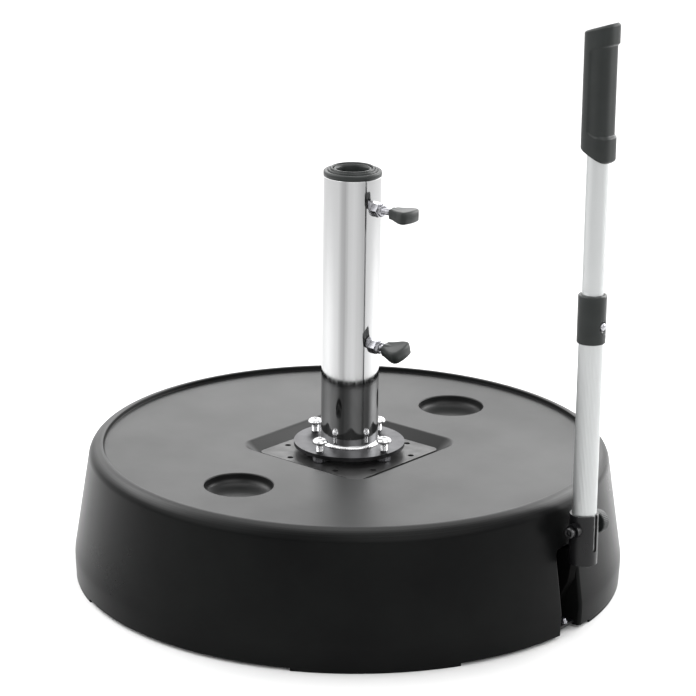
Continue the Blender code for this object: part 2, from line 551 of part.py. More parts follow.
def handle():
    """The telescopic handle: ribbed outer tube, locking collar, inner tube and grip."""
    foot = SOCKET_LOW + SOCKET_FLOOR + GAP
    outer = turned("handle_outer_tube",
                   [(OUTER_TUBE_R, OUTER_TUBE_TOP), (OUTER_TUBE_R, foot),
                    (OUTER_TUBE_BORE_R, foot), (OUTER_TUBE_BORE_R, OUTER_TUBE_TOP)],
                   ALUMINIUM, 28)
    outer.location = (HANDLE_X, LEVER_Y, 0)
    cut(outer, rod("tube cross hole", CROSS_HOLE_R, -0.05, 0.06, sides=12, axis="Y",
                   at=(HANDLE_X, CLAMP_Z)))
    button_hole = rod("button hole", BUTTON_R + GAP, HANDLE_X + 0.005, HANDLE_X + 0.02, sides=12, axis="X",
                      at=(LEVER_Y, BUTTON_Z))
    cut(outer, button_hole)

    collar = turned("telescope_collar",
                    [(COLLAR_R - 0.001, COLLAR_TOP), (COLLAR_R, COLLAR_TOP - 0.001), (COLLAR_R, COLLAR_LOW),
                     (OUTER_TUBE_R + GAP, COLLAR_LOW), (OUTER_TUBE_R + GAP, OUTER_TUBE_TOP + GAP),
                     (INNER_TUBE_R + GAP, OUTER_TUBE_TOP + GAP), (INNER_TUBE_R + GAP, COLLAR_TOP)],
                    GRIP_PLASTIC, 28)
    collar.location = (HANDLE_X, LEVER_Y, 0)
    cut(collar, button_hole)
    button_start = HANDLE_X + OUTER_TUBE_R + 0.0002
    rod("lock_button", BUTTON_R, button_start, HANDLE_X + COLLAR_R + 0.0016, ZINC, 16, "X",
        (LEVER_Y, BUTTON_Z))

    bore_top = GRIP_TOP - GRIP_BORE_END
    inner = turned("handle_inner_tube",
                   [(INNER_TUBE_R, bore_top - GAP), (INNER_TUBE_R, INNER_TUBE_LOW),
                    (INNER_TUBE_BORE_R, INNER_TUBE_LOW), (INNER_TUBE_BORE_R, bore_top - GAP)],
           ALUMINIUM, 28)
    inner.location = (HANDLE_X, LEVER_Y, 0)

    back, front = HANDLE_X - GRIP_DEPTH / 2, HANDLE_X + GRIP_DEPTH / 2
    outline = [
        (front, GRIP_LOW - GRIP_LOW_SLANT),
        (front, GRIP_LOW + 0.018),
        (front - GRIP_WAIST, GRIP_LOW + 0.023),
        (front - GRIP_WAIST, GRIP_TOP - 0.023),
        (front, GRIP_TOP - 0.018),
        (front, GRIP_TOP + GRIP_TOP_SLANT),
        (back, GRIP_TOP - GRIP_TOP_SLANT),
        (back, GRIP_LOW + GRIP_LOW_SLANT),
    ]
    half = GRIP_WIDTH / 2
    grip = plate("handle_grip", outline, LEVER_Y - half, LEVER_Y + half, GRIP_PLASTIC, "XZ")
    rounding = grip.modifiers.new("rounding", "BEVEL")
    rounding.width = 0.006
    rounding.segments = 3
    rounding.limit_method = "ANGLE"
    rounding.angle_limit = math.radians(60)
    cut(grip, rod("grip bore", INNER_TUBE_R + GAP, 0.40, bore_top, sides=28, at=(HANDLE_X, LEVER_Y)))


def carrier_frame():
    """The level frame: two rails on the crank pins and two cross plates for the casters."""
    front_x = PIVOT_X + PIN_DX + 0.0070
    rear_x = ROCKER_X + PIN_DX - 0.0100
    rails = {}
    for side, hand in ((1, "right"), (-1, "left")):
        low, high = sorted((side * RAIL_INNER_Y, side * RAIL_OUTER_Y))
        finish = BLACK_STEEL if side > 0 else None
        name = "carrier_frame" if side > 0 else f"{hand} rail"
        rails[hand] = box(name, (rear_x, low, RAIL_LOW), (front_x, high, RAIL_TOP), finish)
    frame = rails["right"]
    for x, name in ((CASTER_OFFSET, "front"), (-CASTER_OFFSET, "rear")):
        cross = box(f"{name} cross plate", (x - CROSS_HALF, -CROSS_REACH, CROSS_LOW),
                    (x + CROSS_HALF, CROSS_REACH, RAIL_TOP - GAP))
        join(frame, cross)
    join(frame, rails["left"])
    for name, x, clear in (("front", PIVOT_X, GAP), ("rear", ROCKER_X, 0.0010)):
        cut(frame, rod(f"{name} eye", PIN_R + clear, -0.06, 0.06, sides=16, axis="Y",
                       at=(x + PIN_DX, PIVOT_Z + PIN_DZ)))
    for name, x, y in caster_places():
        cut(frame, rod(f"{name} stem hole", STEM_R + GAP, 0.04, 0.07, sides=12, at=(x, y)))


def casters():
    """Four swivelling casters, each a fork with its stem and axle, and a wheel behind the stem."""
    for name, x, y in caster_places():
        axle = (x - TRAIL, WHEEL_Z)
        fork = rod(f"caster_fork_{name}", FORK_R, FORK_LOW, FORK_TOP, ZINC, 16, at=(x, y))
        join(fork, rod(f"{name} stem", STEM_R, FORK_LOW + 0.0015, STEM_TOP, sides=12, at=(x, y)))
        outline = link_outline(axle, 0.0065, (x - 0.002, 0.0425), 0.0085, 5)
        for side in (1, -1):
            low, high = sorted((y + side * LEG_IN, y + side * LEG_OUT))
            leg = plate(f"{name} leg {side}", outline, low, high, None, "XZ")
            join(fork, leg)
        join(fork, rod(f"{name} axle", AXLE_R, y - 0.0120, y + 0.0120, sides=12, axis="Y", at=axle))
        wheel = turned(f"caster_wheel_{name}",
                       [(WHEEL_R - TREAD_CHAMFER, WHEEL_HALF), (WHEEL_R, WHEEL_HALF - TREAD_CHAMFER),
                        (WHEEL_R, TREAD_CHAMFER - WHEEL_HALF), (WHEEL_R - TREAD_CHAMFER, -WHEEL_HALF),
                        (AXLE_R + GAP, -WHEEL_HALF), (AXLE_R + GAP, WHEEL_HALF)], WHEEL_RUBBER, 24)
        wheel.location = (axle[0], y, axle[1])
        wheel.rotation_euler = (QUARTER, 0, 0)


def slot_screw():
    """The small plated screw and nut on the chassis, just inside the lever slot."""
    screw = rod("slot_screw", 0.0040, CHASSIS_TOP + GAP, SLOT_NUT_TOP, ZINC, 6, at=SLOT_SCREW_AT)
    end_low = SLOT_NUT_TOP - 0.0018
    join(screw, rod("screw end", SLOT_SCREW_R, end_low, SLOT_SCREW_TOP, sides=12, at=SLOT_SCREW_AT))


base_shell()
chassis_plate()
ballast()
mounting_plate()
flange_and_screws()
stand_tube()
wing_screws()
lever()
handle()
brackets("front", PIVOT_X)
brackets("rear", ROCKER_X)
crank_set("rear_rocker", ROCKER_X, BLACK_STEEL)
carrier_frame()
casters()
slot_screw()
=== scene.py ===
"""Rolling parasol base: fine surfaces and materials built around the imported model.

Metres, +Z up, +X to the lever. The origin is on the floor, on the axis of the clamping tube.
"""

import json
import math
import random

import bmesh
import bpy
from mathutils import Matrix, Vector


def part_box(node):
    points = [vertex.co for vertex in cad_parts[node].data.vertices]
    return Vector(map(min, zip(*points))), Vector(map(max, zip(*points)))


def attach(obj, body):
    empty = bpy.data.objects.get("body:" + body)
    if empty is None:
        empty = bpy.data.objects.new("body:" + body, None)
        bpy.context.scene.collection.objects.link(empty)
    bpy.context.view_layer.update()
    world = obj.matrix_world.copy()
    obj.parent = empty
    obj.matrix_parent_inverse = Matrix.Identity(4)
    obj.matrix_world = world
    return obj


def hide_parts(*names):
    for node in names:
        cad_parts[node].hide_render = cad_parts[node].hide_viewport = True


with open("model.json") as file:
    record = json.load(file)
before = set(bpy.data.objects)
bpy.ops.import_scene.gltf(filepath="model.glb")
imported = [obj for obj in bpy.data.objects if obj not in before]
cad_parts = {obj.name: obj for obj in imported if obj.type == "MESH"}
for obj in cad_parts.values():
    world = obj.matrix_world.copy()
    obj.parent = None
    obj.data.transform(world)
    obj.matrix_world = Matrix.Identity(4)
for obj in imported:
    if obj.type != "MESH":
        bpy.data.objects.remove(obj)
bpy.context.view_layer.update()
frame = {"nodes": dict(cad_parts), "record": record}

QUARTER = math.pi / 2
MM = 0.001


# -------- frame sizes
def middle(node):
    low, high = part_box(node)
    return (low + high) / 2


SHELL_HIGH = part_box("base_shell")[1]
SHELL_R, RIM_Z = SHELL_HIGH.y, SHELL_HIGH.z
PLATE_LOW, PLATE_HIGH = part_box("mounting_plate")
FLANGE_LOW, FLANGE_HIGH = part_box("tube_flange")
TUBE_LOW, TUBE_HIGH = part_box("stand_tube")
CAP_LOW, CAP_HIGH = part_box("tube_cap")
SLEEVE_LOW, SLEEVE_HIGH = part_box("reducer_sleeve")
SOCKET_LOW, SOCKET_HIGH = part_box("lever_socket")
OUTER_LOW, OUTER_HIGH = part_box("handle_outer_tube")
INNER_LOW, INNER_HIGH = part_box("handle_inner_tube")
COLLAR_LOW, COLLAR_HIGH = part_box("telescope_collar")
GRIP_LOW, GRIP_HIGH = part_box("handle_grip")
TUBE_R = TUBE_HIGH.x
HANDLE = middle("handle_outer_tube") * Vector((1, 1, 0))
CLAMP = middle("clamp_knob")
BUTTON = middle("lock_button")

# The housing's own measures, which repeat the solid's profile
DECK_Z = RIM_Z - 4.5 * MM
RIM_INNER_R, RIM_OUTER_R = SHELL_R - 30.5 * MM, SHELL_R - 15.5 * MM
SHOULDER_R, SHOULDER_DROP = 16 * MM, 13.1 * MM
BELLY_Z, FOOT_R, EDGE_Z = 26 * MM, SHELL_R - 1 * MM, 3 * MM
WALL = 3 * MM
WELL_TOP, WELL_FLOOR, WELL_FLOOR_Z = 83.5 * MM, 68.3 * MM, PLATE_LOW.z - 0.3 * MM
CUP_Y, CUP_R, CUP_FLOOR_Z = 172 * MM, 35 * MM, 124 * MM
SLOT_Y, SLOT_HALF, SLOT_TOP = 8.0 * MM, 15.5 * MM, 91 * MM

# Screws and knobs
BOLT_CIRCLE, BOLT_HOLE_R, BOLT_THREAD_R = 47 * MM, 4.3 * MM, 3.95 * MM
SPARE_CIRCLE, SPARE_HOLE_R, SPARE_TURN = 66 * MM, 3.2 * MM, 0.30
CLAMP_THREAD_R, NUT_BORE_R = 3.45 * MM, 3.9 * MM
WING_LENGTH, WING_STEM, WING_HALF, WING_CORNER = 26.5 * MM, 6.4 * MM, 13.6 * MM, 5.0 * MM
WING_THICK, WING_ROUNDING = 6.5 * MM, 2.2 * MM


# -------- mesh helpers
def shown(name, mesh, sharp=38):
    """An object from a mesh, smooth but for edges over an angle."""
    obj = bpy.data.objects.new(name, mesh)
    bpy.context.scene.collection.objects.link(obj)
    mesh.shade_smooth()
    mesh.set_sharp_from_angle(angle=math.radians(sharp))
    return obj


def grid_object(name, rows, ring=True, cap_start=False, cap_end=False, loop=False, sharp=38):
    """A surface through rows of points. ring closes each row, loop joins the last row to the first."""
    made = bmesh.new()
    verts = [[made.verts.new(point) for point in row] for row in rows]
    pairs = list(zip(verts, verts[1:])) + ([(verts[-1], verts[0])] if loop else [])
    for upper, lower in pairs:
        count = len(upper)
        for i in range(count if ring else count - 1):
            made.faces.new((upper[i], upper[(i + 1) % count], lower[(i + 1) % count], lower[i]))
    if cap_start:
        made.faces.new(verts[0][::-1])
    if cap_end:
        made.faces.new(verts[-1])
    bmesh.ops.remove_doubles(made, verts=made.verts, dist=1e-7)
    bmesh.ops.dissolve_degenerate(made, edges=made.edges, dist=1e-8)
    bmesh.ops.recalc_face_normals(made, faces=made.faces)
    mesh = bpy.data.meshes.new(name)
    made.to_mesh(mesh)
    made.free()
    return shown(name, mesh, sharp)


def circle(radius, count, z=0.0, wobble=None):
    """A ring of points, with a radius that may vary with the angle."""
    points = []
    for i in range(count):
        angle = 2 * math.pi * i / count
        r = radius + (wobble(angle, z) if wobble else 0)
        points.append((r * math.cos(angle), r * math.sin(angle), z))
    return points


def turned(name, profile, steps=96, loop=False, wobble=None, sharp=38):
    """A turned surface from (radius, height) points."""
    rows = [circle(max(r, 1e-9), steps, z, wobble if r > 1e-6 else None) for r, z in profile]
    return grid_object(name, rows, loop=loop, sharp=sharp)


def prism(name, outline, low, high, sharp=38):
    """An upright prism on an outline in x and y."""
    rows = [[(x, y, low) for x, y in outline], [(x, y, high) for x, y in outline]]
    return grid_object(name, rows, cap_start=True, cap_end=True, sharp=sharp)


def arc(cx, cy, radius, start, end, count=8):
    """Points on a circle between two angles in degrees."""
    points = []
    for i in range(count):
        angle = math.radians(start + (end - start) * i / (count - 1))
        points.append((cx + radius * math.cos(angle), cy + radius * math.sin(angle)))
    return points


def rounded(half_x, half_y, radius, count=8, centre=(0, 0)):
    """The outline of a rectangle with round corners."""
    points = []
    for i, (sx, sy) in enumerate(((1, 1), (-1, 1), (-1, -1), (1, -1))):
        cx, cy = centre[0] + sx * (half_x - radius), centre[1] + sy * (half_y - radius)
        points += arc(cx, cy, radius, i * 90, i * 90 + 90, count)
    return points


def move(obj, matrix):
    obj.data.transform(matrix)
    obj.data.update()
    return obj


def shift(obj, place):
    """Moves a piece sideways, from the origin's vertical axis to a place's."""
    return move(obj, Matrix.Translation((place[0], place[1], 0)))


def along(axis, place):
    """A matrix that turns an upright piece along an axis and puts it at a place."""
    turn = {"X": Matrix.Rotation(QUARTER, 4, "Y"), "Y": Matrix.Rotation(-QUARTER, 4, "X"),
            "Z": Matrix.Identity(4)}
    return Matrix.Translation(place) @ turn[axis]


def bake(obj, sharp=38):
    """Applies the object's modifiers to its mesh."""
    bpy.context.view_layer.update()
    evaluated = obj.evaluated_get(bpy.context.evaluated_depsgraph_get())
    mesh = bpy.data.meshes.new_from_object(evaluated)
    obj.modifiers.clear()
    obj.data = mesh
    mesh.shade_smooth()
    mesh.set_sharp_from_angle(angle=math.radians(sharp))
    return obj


def carve(obj, *tools, operation="DIFFERENCE", sharp=38):
    """Cuts or joins tools, which are then removed."""
    for tool in tools:
        modifier = obj.modifiers.new("carve", "BOOLEAN")
        modifier.object = tool
        modifier.operation = operation
        modifier.solver = "EXACT"
    bake(obj, sharp)
    for tool in tools:
        bpy.data.objects.remove(tool, do_unlink=True)
    return obj


def bevelled(obj, width, segments=3, angle=50, sharp=38):
    """Rounds the sharp edges."""
    modifier = obj.modifiers.new("bevel", "BEVEL")
    modifier.width = width
    modifier.segments = segments
    modifier.limit_method = "ANGLE"
    modifier.angle_limit = math.radians(angle)
    modifier.use_clamp_overlap = True
    return bake(obj, sharp)


def even_shading(obj):
    """Lets large flat faces set the shading at the edge of a fillet."""
    modifier = obj.modifiers.new("shading", "WEIGHTED_NORMAL")
    modifier.keep_sharp = True
    modifier.weight = 100
    return obj


def rod(name, radius, start, end, steps=48, axis="Z", place=(0, 0, 0)):
    """A cylinder along an axis."""
    profile = [(0, end), (radius, end), (radius, start), (0, start)]
    return move(turned(name, profile, steps), along(axis, place))


def bolt_holes(low, high, steps):
    """Cutters for the flange's four screws."""
    turns = [number * QUARTER for number in range(4)]
    places = [(BOLT_CIRCLE * math.cos(turn), BOLT_CIRCLE * math.sin(turn), 0) for turn in turns]
    return [rod("hole", BOLT_HOLE_R, low - MM, high + MM, steps, place=place) for place in places]


def piece(obj, body, finish, replaces=()):
    """Declares a finished piece: its body, its material and the solids it stands for."""
    if finish is not None:
        obj.data.materials.clear()
        obj.data.materials.append(finish)
    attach(obj, body)
    if replaces:
        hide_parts(*replaces)
    return obj


# -------- materials
class Shader:
    """A small helper to wire a procedural material. A pattern is a noise's settings or the scale of cells."""

    def __init__(self, name, metallic=0.0, specular=0.5):
        self.material = bpy.data.materials.new(name)
        self.material.use_nodes = True
        self.tree = self.material.node_tree
        self.main = self.tree.nodes["Principled BSDF"]
        self.set("Metallic", metallic)
        self.set("Specular IOR Level", specular)
        self.place = self.node("ShaderNodeTexCoord").outputs["Object"]
        self.relief = None

    def set(self, socket, value):
        self.main.inputs[socket].default_value = value

    def node(self, kind, **settings):
        made = self.tree.nodes.new(kind)
        for key, value in settings.items():
            setattr(made, key, value)
        return made

    def link(self, source, target):
        self.tree.links.new(source, target)

    def noise(self, scale, detail=4.0, roughness=0.55, stretch=(1, 1, 1)):
        mapping = self.node("ShaderNodeMapping")
        mapping.inputs["Scale"].default_value = stretch
        self.link(self.place, mapping.inputs["Vector"])
        made = self.node("ShaderNodeTexNoise")
        made.inputs["Scale"].default_value = scale
        made.inputs["Detail"].default_value = detail
        made.inputs["Roughness"].default_value = roughness
        self.link(mapping.outputs["Vector"], made.inputs["Vector"])
        return made.outputs["Fac"]

    def cells(self, scale):
        made = self.node("ShaderNodeTexVoronoi")
        made.inputs["Scale"].default_value = scale
        self.link(self.place, made.inputs["Vector"])
        return made.outputs["Distance"]

    def pattern(self, settings):
        return self.noise(*settings) if isinstance(settings, tuple) else self.cells(settings)

    def turn(self):
        """The turn about the vertical axis, from 0 to 1, starting opposite +X."""
        apart = self.node("ShaderNodeSeparateXYZ")
        self.link(self.place, apart.inputs[0])
        made = self.node("ShaderNodeMath", operation="ARCTAN2")
        self.link(apart.outputs["Y"], made.inputs[0])
        self.link(apart.outputs["X"], made.inputs[1])
        return self.remap(made.outputs[0], -math.pi, math.pi, 0, 1)

    def add(self, first, second):
        made = self.node("ShaderNodeMath", operation="ADD")
        self.link(first, made.inputs[0])
        self.link(second, made.inputs[1])
        return made.outputs[0]

    def remap(self, value, low, high, to_low, to_high):
        made = self.node("ShaderNodeMapRange")
        for index, number in enumerate((low, high, to_low, to_high), 1):
            made.inputs[index].default_value = number
        self.link(value, made.inputs[0])
        return made.outputs[0]

    def spread(self, settings, low, high):
        """A pattern that varies between two values."""
        return self.remap(self.pattern(settings), 0.3, 0.7, low, high)

    def colours(self, value, stops):
        ramp = self.node("ShaderNodeValToRGB")
        elements = ramp.color_ramp.elements
        elements[0].position, elements[1].position = stops[0][0], stops[-1][0]
        elements[0].color, elements[1].color = (*stops[0][1], 1), (*stops[-1][1], 1)
        for position, colour in stops[1:-1]:
            elements.new(position).color = (*colour, 1)
        self.link(value, ramp.inputs["Fac"])
        self.link(ramp.outputs["Color"], self.main.inputs["Base Color"])

    def rough(self, value):
        self.link(value, self.main.inputs["Roughness"])

    def bump(self, value, strength, distance):
        made = self.node("ShaderNodeBump")
        made.inputs["Strength"].default_value = strength
        made.inputs["Distance"].default_value = distance
        self.link(value, made.inputs["Height"])
        if self.relief is not None:
            self.link(self.relief, made.inputs["Normal"])
        self.relief = made.outputs["Normal"]
        self.link(self.relief, self.main.inputs["Normal"])


def finish(name, colour, rough, *bumps, metallic=0.0, specular=0.5, edge=None):
    """A procedural material.

    colour: one colour, or a pattern and its two (position, colour) stops.
    rough: one roughness, or a pattern and its lowest and highest roughness.
    bumps: a pattern, strength and distance for each.
    edge: the tint at a grazing angle.
    """
    made = Shader(name, metallic, specular)
    if len(colour) == 2:
        made.colours(made.pattern(colour[0]), colour[1])
    else:
        made.set("Base Color", (*colour, 1))
    if isinstance(rough, tuple):
        made.rough(made.spread(*rough))
    else:
        made.set("Roughness", rough)
    for pattern, strength, distance in bumps:
        made.bump(made.pattern(pattern), strength, distance)
    if edge:
        made.set("Specular Tint", (*edge, 1))
    return made.material


def housing_plastic(number, specular, rough):
    """Black moulded plastic with a fine grain and faint handling marks."""
    shades = ((0.35, (0.0030, 0.0031, 0.0032)), (0.65, (0.0048, 0.0051, 0.0050)))
    return finish(f"housing_plastic_{number}", ((9, 5), shades), ((6, 6, 0.6), rough, rough + 0.08),
                  ((1400, 3, 0.6), 0.14, 0.0002), ((16, 3), 0.08, 0.0008), specular=specular)


def tube_steel():
    """Polished stainless steel with fine lines along the tube; its colour carries a painted reflection of the
    studio, broad lighter and darker vertical bands by the turn about the axis, and a narrow dark line at a weld
    seam.
    """
    along_tube = 0.01
    made = Shader("polished_stainless", 1.0)
    made.rough(made.spread((520, 3, 0.6, (1, 1, along_tube)), 0.03, 0.09))
    turn = made.add(made.turn(), made.spread((150, 3, 0.6, (1, 1, along_tube * 1.5)), -0.008, 0.008))
    # painted reflection: these lighter and darker colour stops by the turn about the axis stand in for the studio
    # reflected in the tube
    levels = ((0.05, 0.48), (0.115, 0.36), (0.14, 0.46), (0.20, 0.49), (0.285, 0.48), (0.305, 0.35),
              (0.325, 0.31), (0.338, 0.46), (0.375, 0.50), (0.405, 0.42), (0.428, 0.34), (0.436, 0.24),
              (0.444, 0.46), (0.53, 0.48), (0.60, 0.44), (0.8, 0.48))
    tint = (0.92, 0.925, 0.93)
    made.colours(turn, [(place, [level * share for share in tint]) for place, level in levels])
    made.bump(made.noise(420, 3, 0.6, (1, 1, along_tube)), 0.02, 0.0001)
    return made.material


# Specular level and lowest roughness, from the rim's top down its shoulder to the wall
HOUSING_LEVELS = ((0.23, 0.36), (0.17, 0.35), (0.12, 0.33), (0.085, 0.30), (0.055, 0.26))
HOUSING_STEPS = [housing_plastic(number, *levels) for number, levels in enumerate(HOUSING_LEVELS, 1)]
HOUSING, WALL_PLASTIC = HOUSING_STEPS[0], HOUSING_STEPS[-1]
TUBE_STEEL = tube_steel()
# Blasted stainless plate, grey and softly mottled, less bright at a grazing angle
FLANGE_PLATE = finish("blasted_stainless",
                      ((60, 5, 0.6), ((0.35, (0.050, 0.050, 0.051)), (0.65, (0.078, 0.078, 0.080)))),
                      ((120, 4), 0.28, 0.42), ((900, 2), 0.03, 0.0001), metallic=1.0, edge=(0.80, 0.80, 0.81))

# Dark green-grey moulded plastic with a fine matt grain
GRIP = finish("grip_plastic", ((40, 4), ((0.35, (0.0078, 0.0096, 0.0090)), (0.65, (0.0112, 0.0134, 0.0128)))),
              ((25, 4), 0.34, 0.46), (2600, 0.12, 0.0001), specular=0.30)
# Black coated steel, glossy, with a slight orange peel
BLACK = finish("black_steel", ((30, 5), ((0.35, (0.003, 0.003, 0.0035)), (0.70, (0.006, 0.006, 0.0065)))),
               ((60, 4), 0.26, 0.40), ((420, 2), 0.12, 0.0003), specular=0.25)
# Steel worn bright along an edge, patchy where the coating holds on
BARE = finish("bare_edge", ((260, 5, 0.7), ((0.38, (0.03, 0.03, 0.03)), (0.50, (0.62, 0.63, 0.65)))),
              ((300, 4), 0.25, 0.45), metallic=0.85)
# Turned and polished stainless steel
TURNED_STEEL = finish("turned_stainless", (0.56, 0.56, 0.565), ((300, 4), 0.16, 0.30),
                      ((900, 2), 0.03, 0.0001), metallic=1.0)
# A thin satin coating on the well's plate
PLATE_COAT = finish("plate_coating", ((35, 5), ((0.35, (0.009, 0.009, 0.009)), (0.70, (0.018, 0.018, 0.018)))),
                    ((70, 4), 0.36, 0.50), ((600, 2), 0.10, 0.0002))
# Painted shade: a near-black, barely reflecting coat on the steel arm inside the slot stands in for the slot's
# shadow; its roughness varies in patches
SLOT_SHADE_BLACK = finish("slot_painted_shade", ((45, 5), ((0.35, (0.0015, 0.0015, 0.0015)), (0.70, (0.003, 0.003, 0.003)))),
                    ((60, 4), 0.45, 0.62), ((420, 2), 0.10, 0.0003), specular=0.01)
# Zinc plating with its soft crystal mottling
ZINC = finish("zinc_plating", (420, ((0.0, (0.26, 0.26, 0.28)), (0.8, (0.40, 0.40, 0.42)))),
              ((500, 4), 0.20, 0.36), ((700, 3), 0.05, 0.0001), metallic=1.0)
# Drawn satin aluminium with fine lines along the tube
ALUMINIUM = finish("satin_aluminium",
                   ((14, 3, 0.5, (1, 1, 0.2)), ((0.3, (0.43, 0.44, 0.44)), (0.7, (0.51, 0.52, 0.52)))),
                   ((900, 3, 0.6, (1, 1, 0.006)), 0.30, 0.46),
                   ((900, 3, 0.6, (1, 1, 0.006)), 0.10, 0.0001), metallic=1.0)
# Cast concrete with sand grain and pores
CONCRETE = finish("concrete", ((60, 8, 0.7), ((0.3, (0.30, 0.29, 0.275)), (0.7, (0.46, 0.45, 0.43)))), 0.92,
                  ((350, 6, 0.7), 0.5, 0.0008))
# Grey wheel rubber, slightly dusty
RUBBER = finish("wheel_rubber", ((80, 6), ((0.3, (0.045, 0.045, 0.045)), (0.7, (0.085, 0.083, 0.08)))), 0.7,
                ((900, 3), 0.2, 0.0002))
FLOOR_PAINT = finish("pale_floor", (0.60, 0.60, 0.60), 0.85, specular=0.1)

BY_SLOT = {
    "housing": HOUSING,
    "black_steel": BLACK,
    "concrete": CONCRETE,
    "stainless": TURNED_STEEL,
    "zinc": ZINC,
    "grip_plastic": GRIP,
    "aluminium": ALUMINIUM,
    "wheel": RUBBER,
}


def coat_frame():
    """Gives every CAD node that stays visible its procedural material."""
    for row in frame["record"]["subparts"]:
        obj = frame["nodes"][row["node"]]
        obj.data.materials.clear()
        obj.data.materials.append(BY_SLOT[row["material_slot"]])


# -------- housing
def wall_radius(z):
    """The outer radius of the sloping wall at a height."""
    if z < BELLY_Z:
        return FOOT_R + (SHELL_R - FOOT_R) * (z - EDGE_Z) / (BELLY_Z - EDGE_Z)
    return SHELL_R - (SHELL_R - RIM_OUTER_R) * (z - BELLY_Z) / (RIM_Z - SHOULDER_DROP - BELLY_Z)


def shell_profile():
    """The housing's section: deck, step, rim, rounded shoulder, wall, foot edge and the inside."""
    profile = [(60 * MM, DECK_Z), (RIM_INNER_R - 3.2 * MM, DECK_Z)]
    profile += arc(RIM_INNER_R - 2.2 * MM, DECK_Z + 1.2 * MM, 1.2 * MM, 270, 352, 6)
    profile += arc(RIM_INNER_R + 0.9 * MM, RIM_Z - 1.4 * MM, 1.4 * MM, 172, 90, 7)
    shoulder_r = RIM_OUTER_R - SHOULDER_R * math.cos(math.radians(9))
    profile += arc(shoulder_r, RIM_Z - SHOULDER_R * math.sin(math.radians(79)), SHOULDER_R, 78, 9, 18)
    low = profile[-1][1]
    for i in range(1, 13):
        z = low + (BELLY_Z + 8 * MM - low) * i / 12
        profile.append((wall_radius(z), z))
    profile += [(SHELL_R - 0.35 * MM, BELLY_Z + 3 * MM), (SHELL_R - 0.05 * MM, BELLY_Z - 2 * MM)]
    profile += [(SHELL_R - 0.25 * MM, BELLY_Z - 9 * MM), (FOOT_R + 0.2 * MM, EDGE_Z + 4 * MM)]
    profile += arc(FOOT_R - 1.0 * MM, EDGE_Z + 1.0 * MM, 1.0 * MM, 0, -90, 4)
    profile += [(FOOT_R - WALL, EDGE_Z), (SHELL_R - WALL, BELLY_Z), (RIM_OUTER_R - WALL, DECK_Z - WALL)]
    return profile + [(60 * MM, DECK_Z - WALL)]


def loft_tool(name, shape, stations):
    """A cutter lofted from outlines: shape(offset) gives the outline, stations list (offset, z)."""
    rows = [[(x, y, z) for x, y in shape(offset)] for offset, z in stations]
    return grid_object(name, rows, cap_start=True, cap_end=True)


def well_shape(grow):
    """The well's outline, a square with round corners, grown from its floor's."""
    half = WELL_FLOOR + grow
    return rounded(half, half, 8 * MM + grow * 0.9, 12)


def make_housing():
    """The moulded housing: the turned shell with its well, two cups and lever slot."""
    shell = turned("housing", shell_profile(), 288, loop=True)
    under, below_deck = WELL_FLOOR_Z - WALL, DECK_Z - 0.4 * MM
    top = WELL_TOP - WELL_FLOOR
    body = loft_tool("well body", well_shape, [(WALL, under), (top + WALL, below_deck)])
    cups = []
    for side in (1, -1):
        cup = turned("cup body", [(0, below_deck), (CUP_R + WALL, below_deck),
                                  (CUP_R + WALL, CUP_FLOOR_Z - WALL), (0, CUP_FLOOR_Z - WALL)], 96)
        cups.append(shift(cup, (0, side * CUP_Y)))
    carve(shell, body, *cups, operation="UNION")

    lip = 5.5 * MM
    stations = [(0.0, WELL_FLOOR_Z), (0.3 * MM, WELL_FLOOR_Z + 0.5 * MM)]
    lean = math.degrees(math.atan2(1, top / (DECK_Z - WELL_FLOOR_Z)))
    bend = lip * math.tan(math.radians(lean / 2))
    for i in range(13):
        angle = math.radians(90 + lean * (1 - i / 12) * 0.99)
        stations.append((top + bend + lip * math.cos(angle), DECK_Z - lip + lip * math.sin(angle)))
    stations.append((top + bend + 0.8 * MM, DECK_Z + 2 * MM))
    cavity = loft_tool("well cavity", well_shape, stations)
    hole = prism("well hole", rounded(55 * MM, 55 * MM, 3 * MM), under - MM, DECK_Z)
    carve(shell, cavity, hole)

    cavities = []
    for side in (1, -1):
        edge, depth = 1.3 * MM, DECK_Z - CUP_FLOOR_Z
        profile = [(0, DECK_Z + 2 * MM), (CUP_R + edge + 0.4 * MM, DECK_Z + 2 * MM)]
        profile += arc(CUP_R + edge, DECK_Z - edge, edge, 97, 180, 8)
        for i in range(1, 25):
            turn = QUARTER * i / 24
            rise = (depth - 2.2 * MM) * (1 - math.sin(turn) ** 0.62)
            profile.append((CUP_R * math.cos(turn) ** 0.42, CUP_FLOOR_Z + rise))
        profile[-1] = (0, CUP_FLOOR_Z)
        cavities.append(shift(turned("cup cavity", profile, 128), (0, side * CUP_Y)))
    carve(shell, *cavities)

    reach = 3.2 * MM
    outline = rounded(SLOT_HALF + reach, (SLOT_TOP + reach + 0.05) / 2, 5 * MM + reach, 8,
                      (SLOT_Y, (SLOT_TOP + reach - 0.05) / 2))
    slot = prism("slot", outline, -0.06, 0.06)
    sideways = Matrix(((0, 0, 1, 0), (1, 0, 0, 0), (0, 1, 0, 0), (0, 0, 0, 1)))
    carve(shell, move(slot, Matrix.Translation((0.30, 0, 0)) @ sideways))
    dull_wall(shell.data)
    even_shading(shell)
    piece(shell, "base", None, ["base_shell"])


def dull_wall(mesh):
    """Gives the deck and rim the glossier plastic, the wall and the rim's step the duller one."""
    mesh.materials.clear()
    for material in HOUSING_STEPS:
        mesh.materials.append(material)
    last = len(HOUSING_STEPS) - 1
    for face in mesh.polygons:
        out = math.hypot(face.center.x, face.center.y)
        fall = (RIM_Z - 0.5 * MM - face.center.z) / (7.5 * MM)
        if out < RIM_INNER_R - 2.5 * MM:
            face.material_index = 0
        elif out < RIM_INNER_R + MM and fall > 0:
            face.material_index = last
        else:
            face.material_index = max(0, min(last, int(fall * (last + 1))))


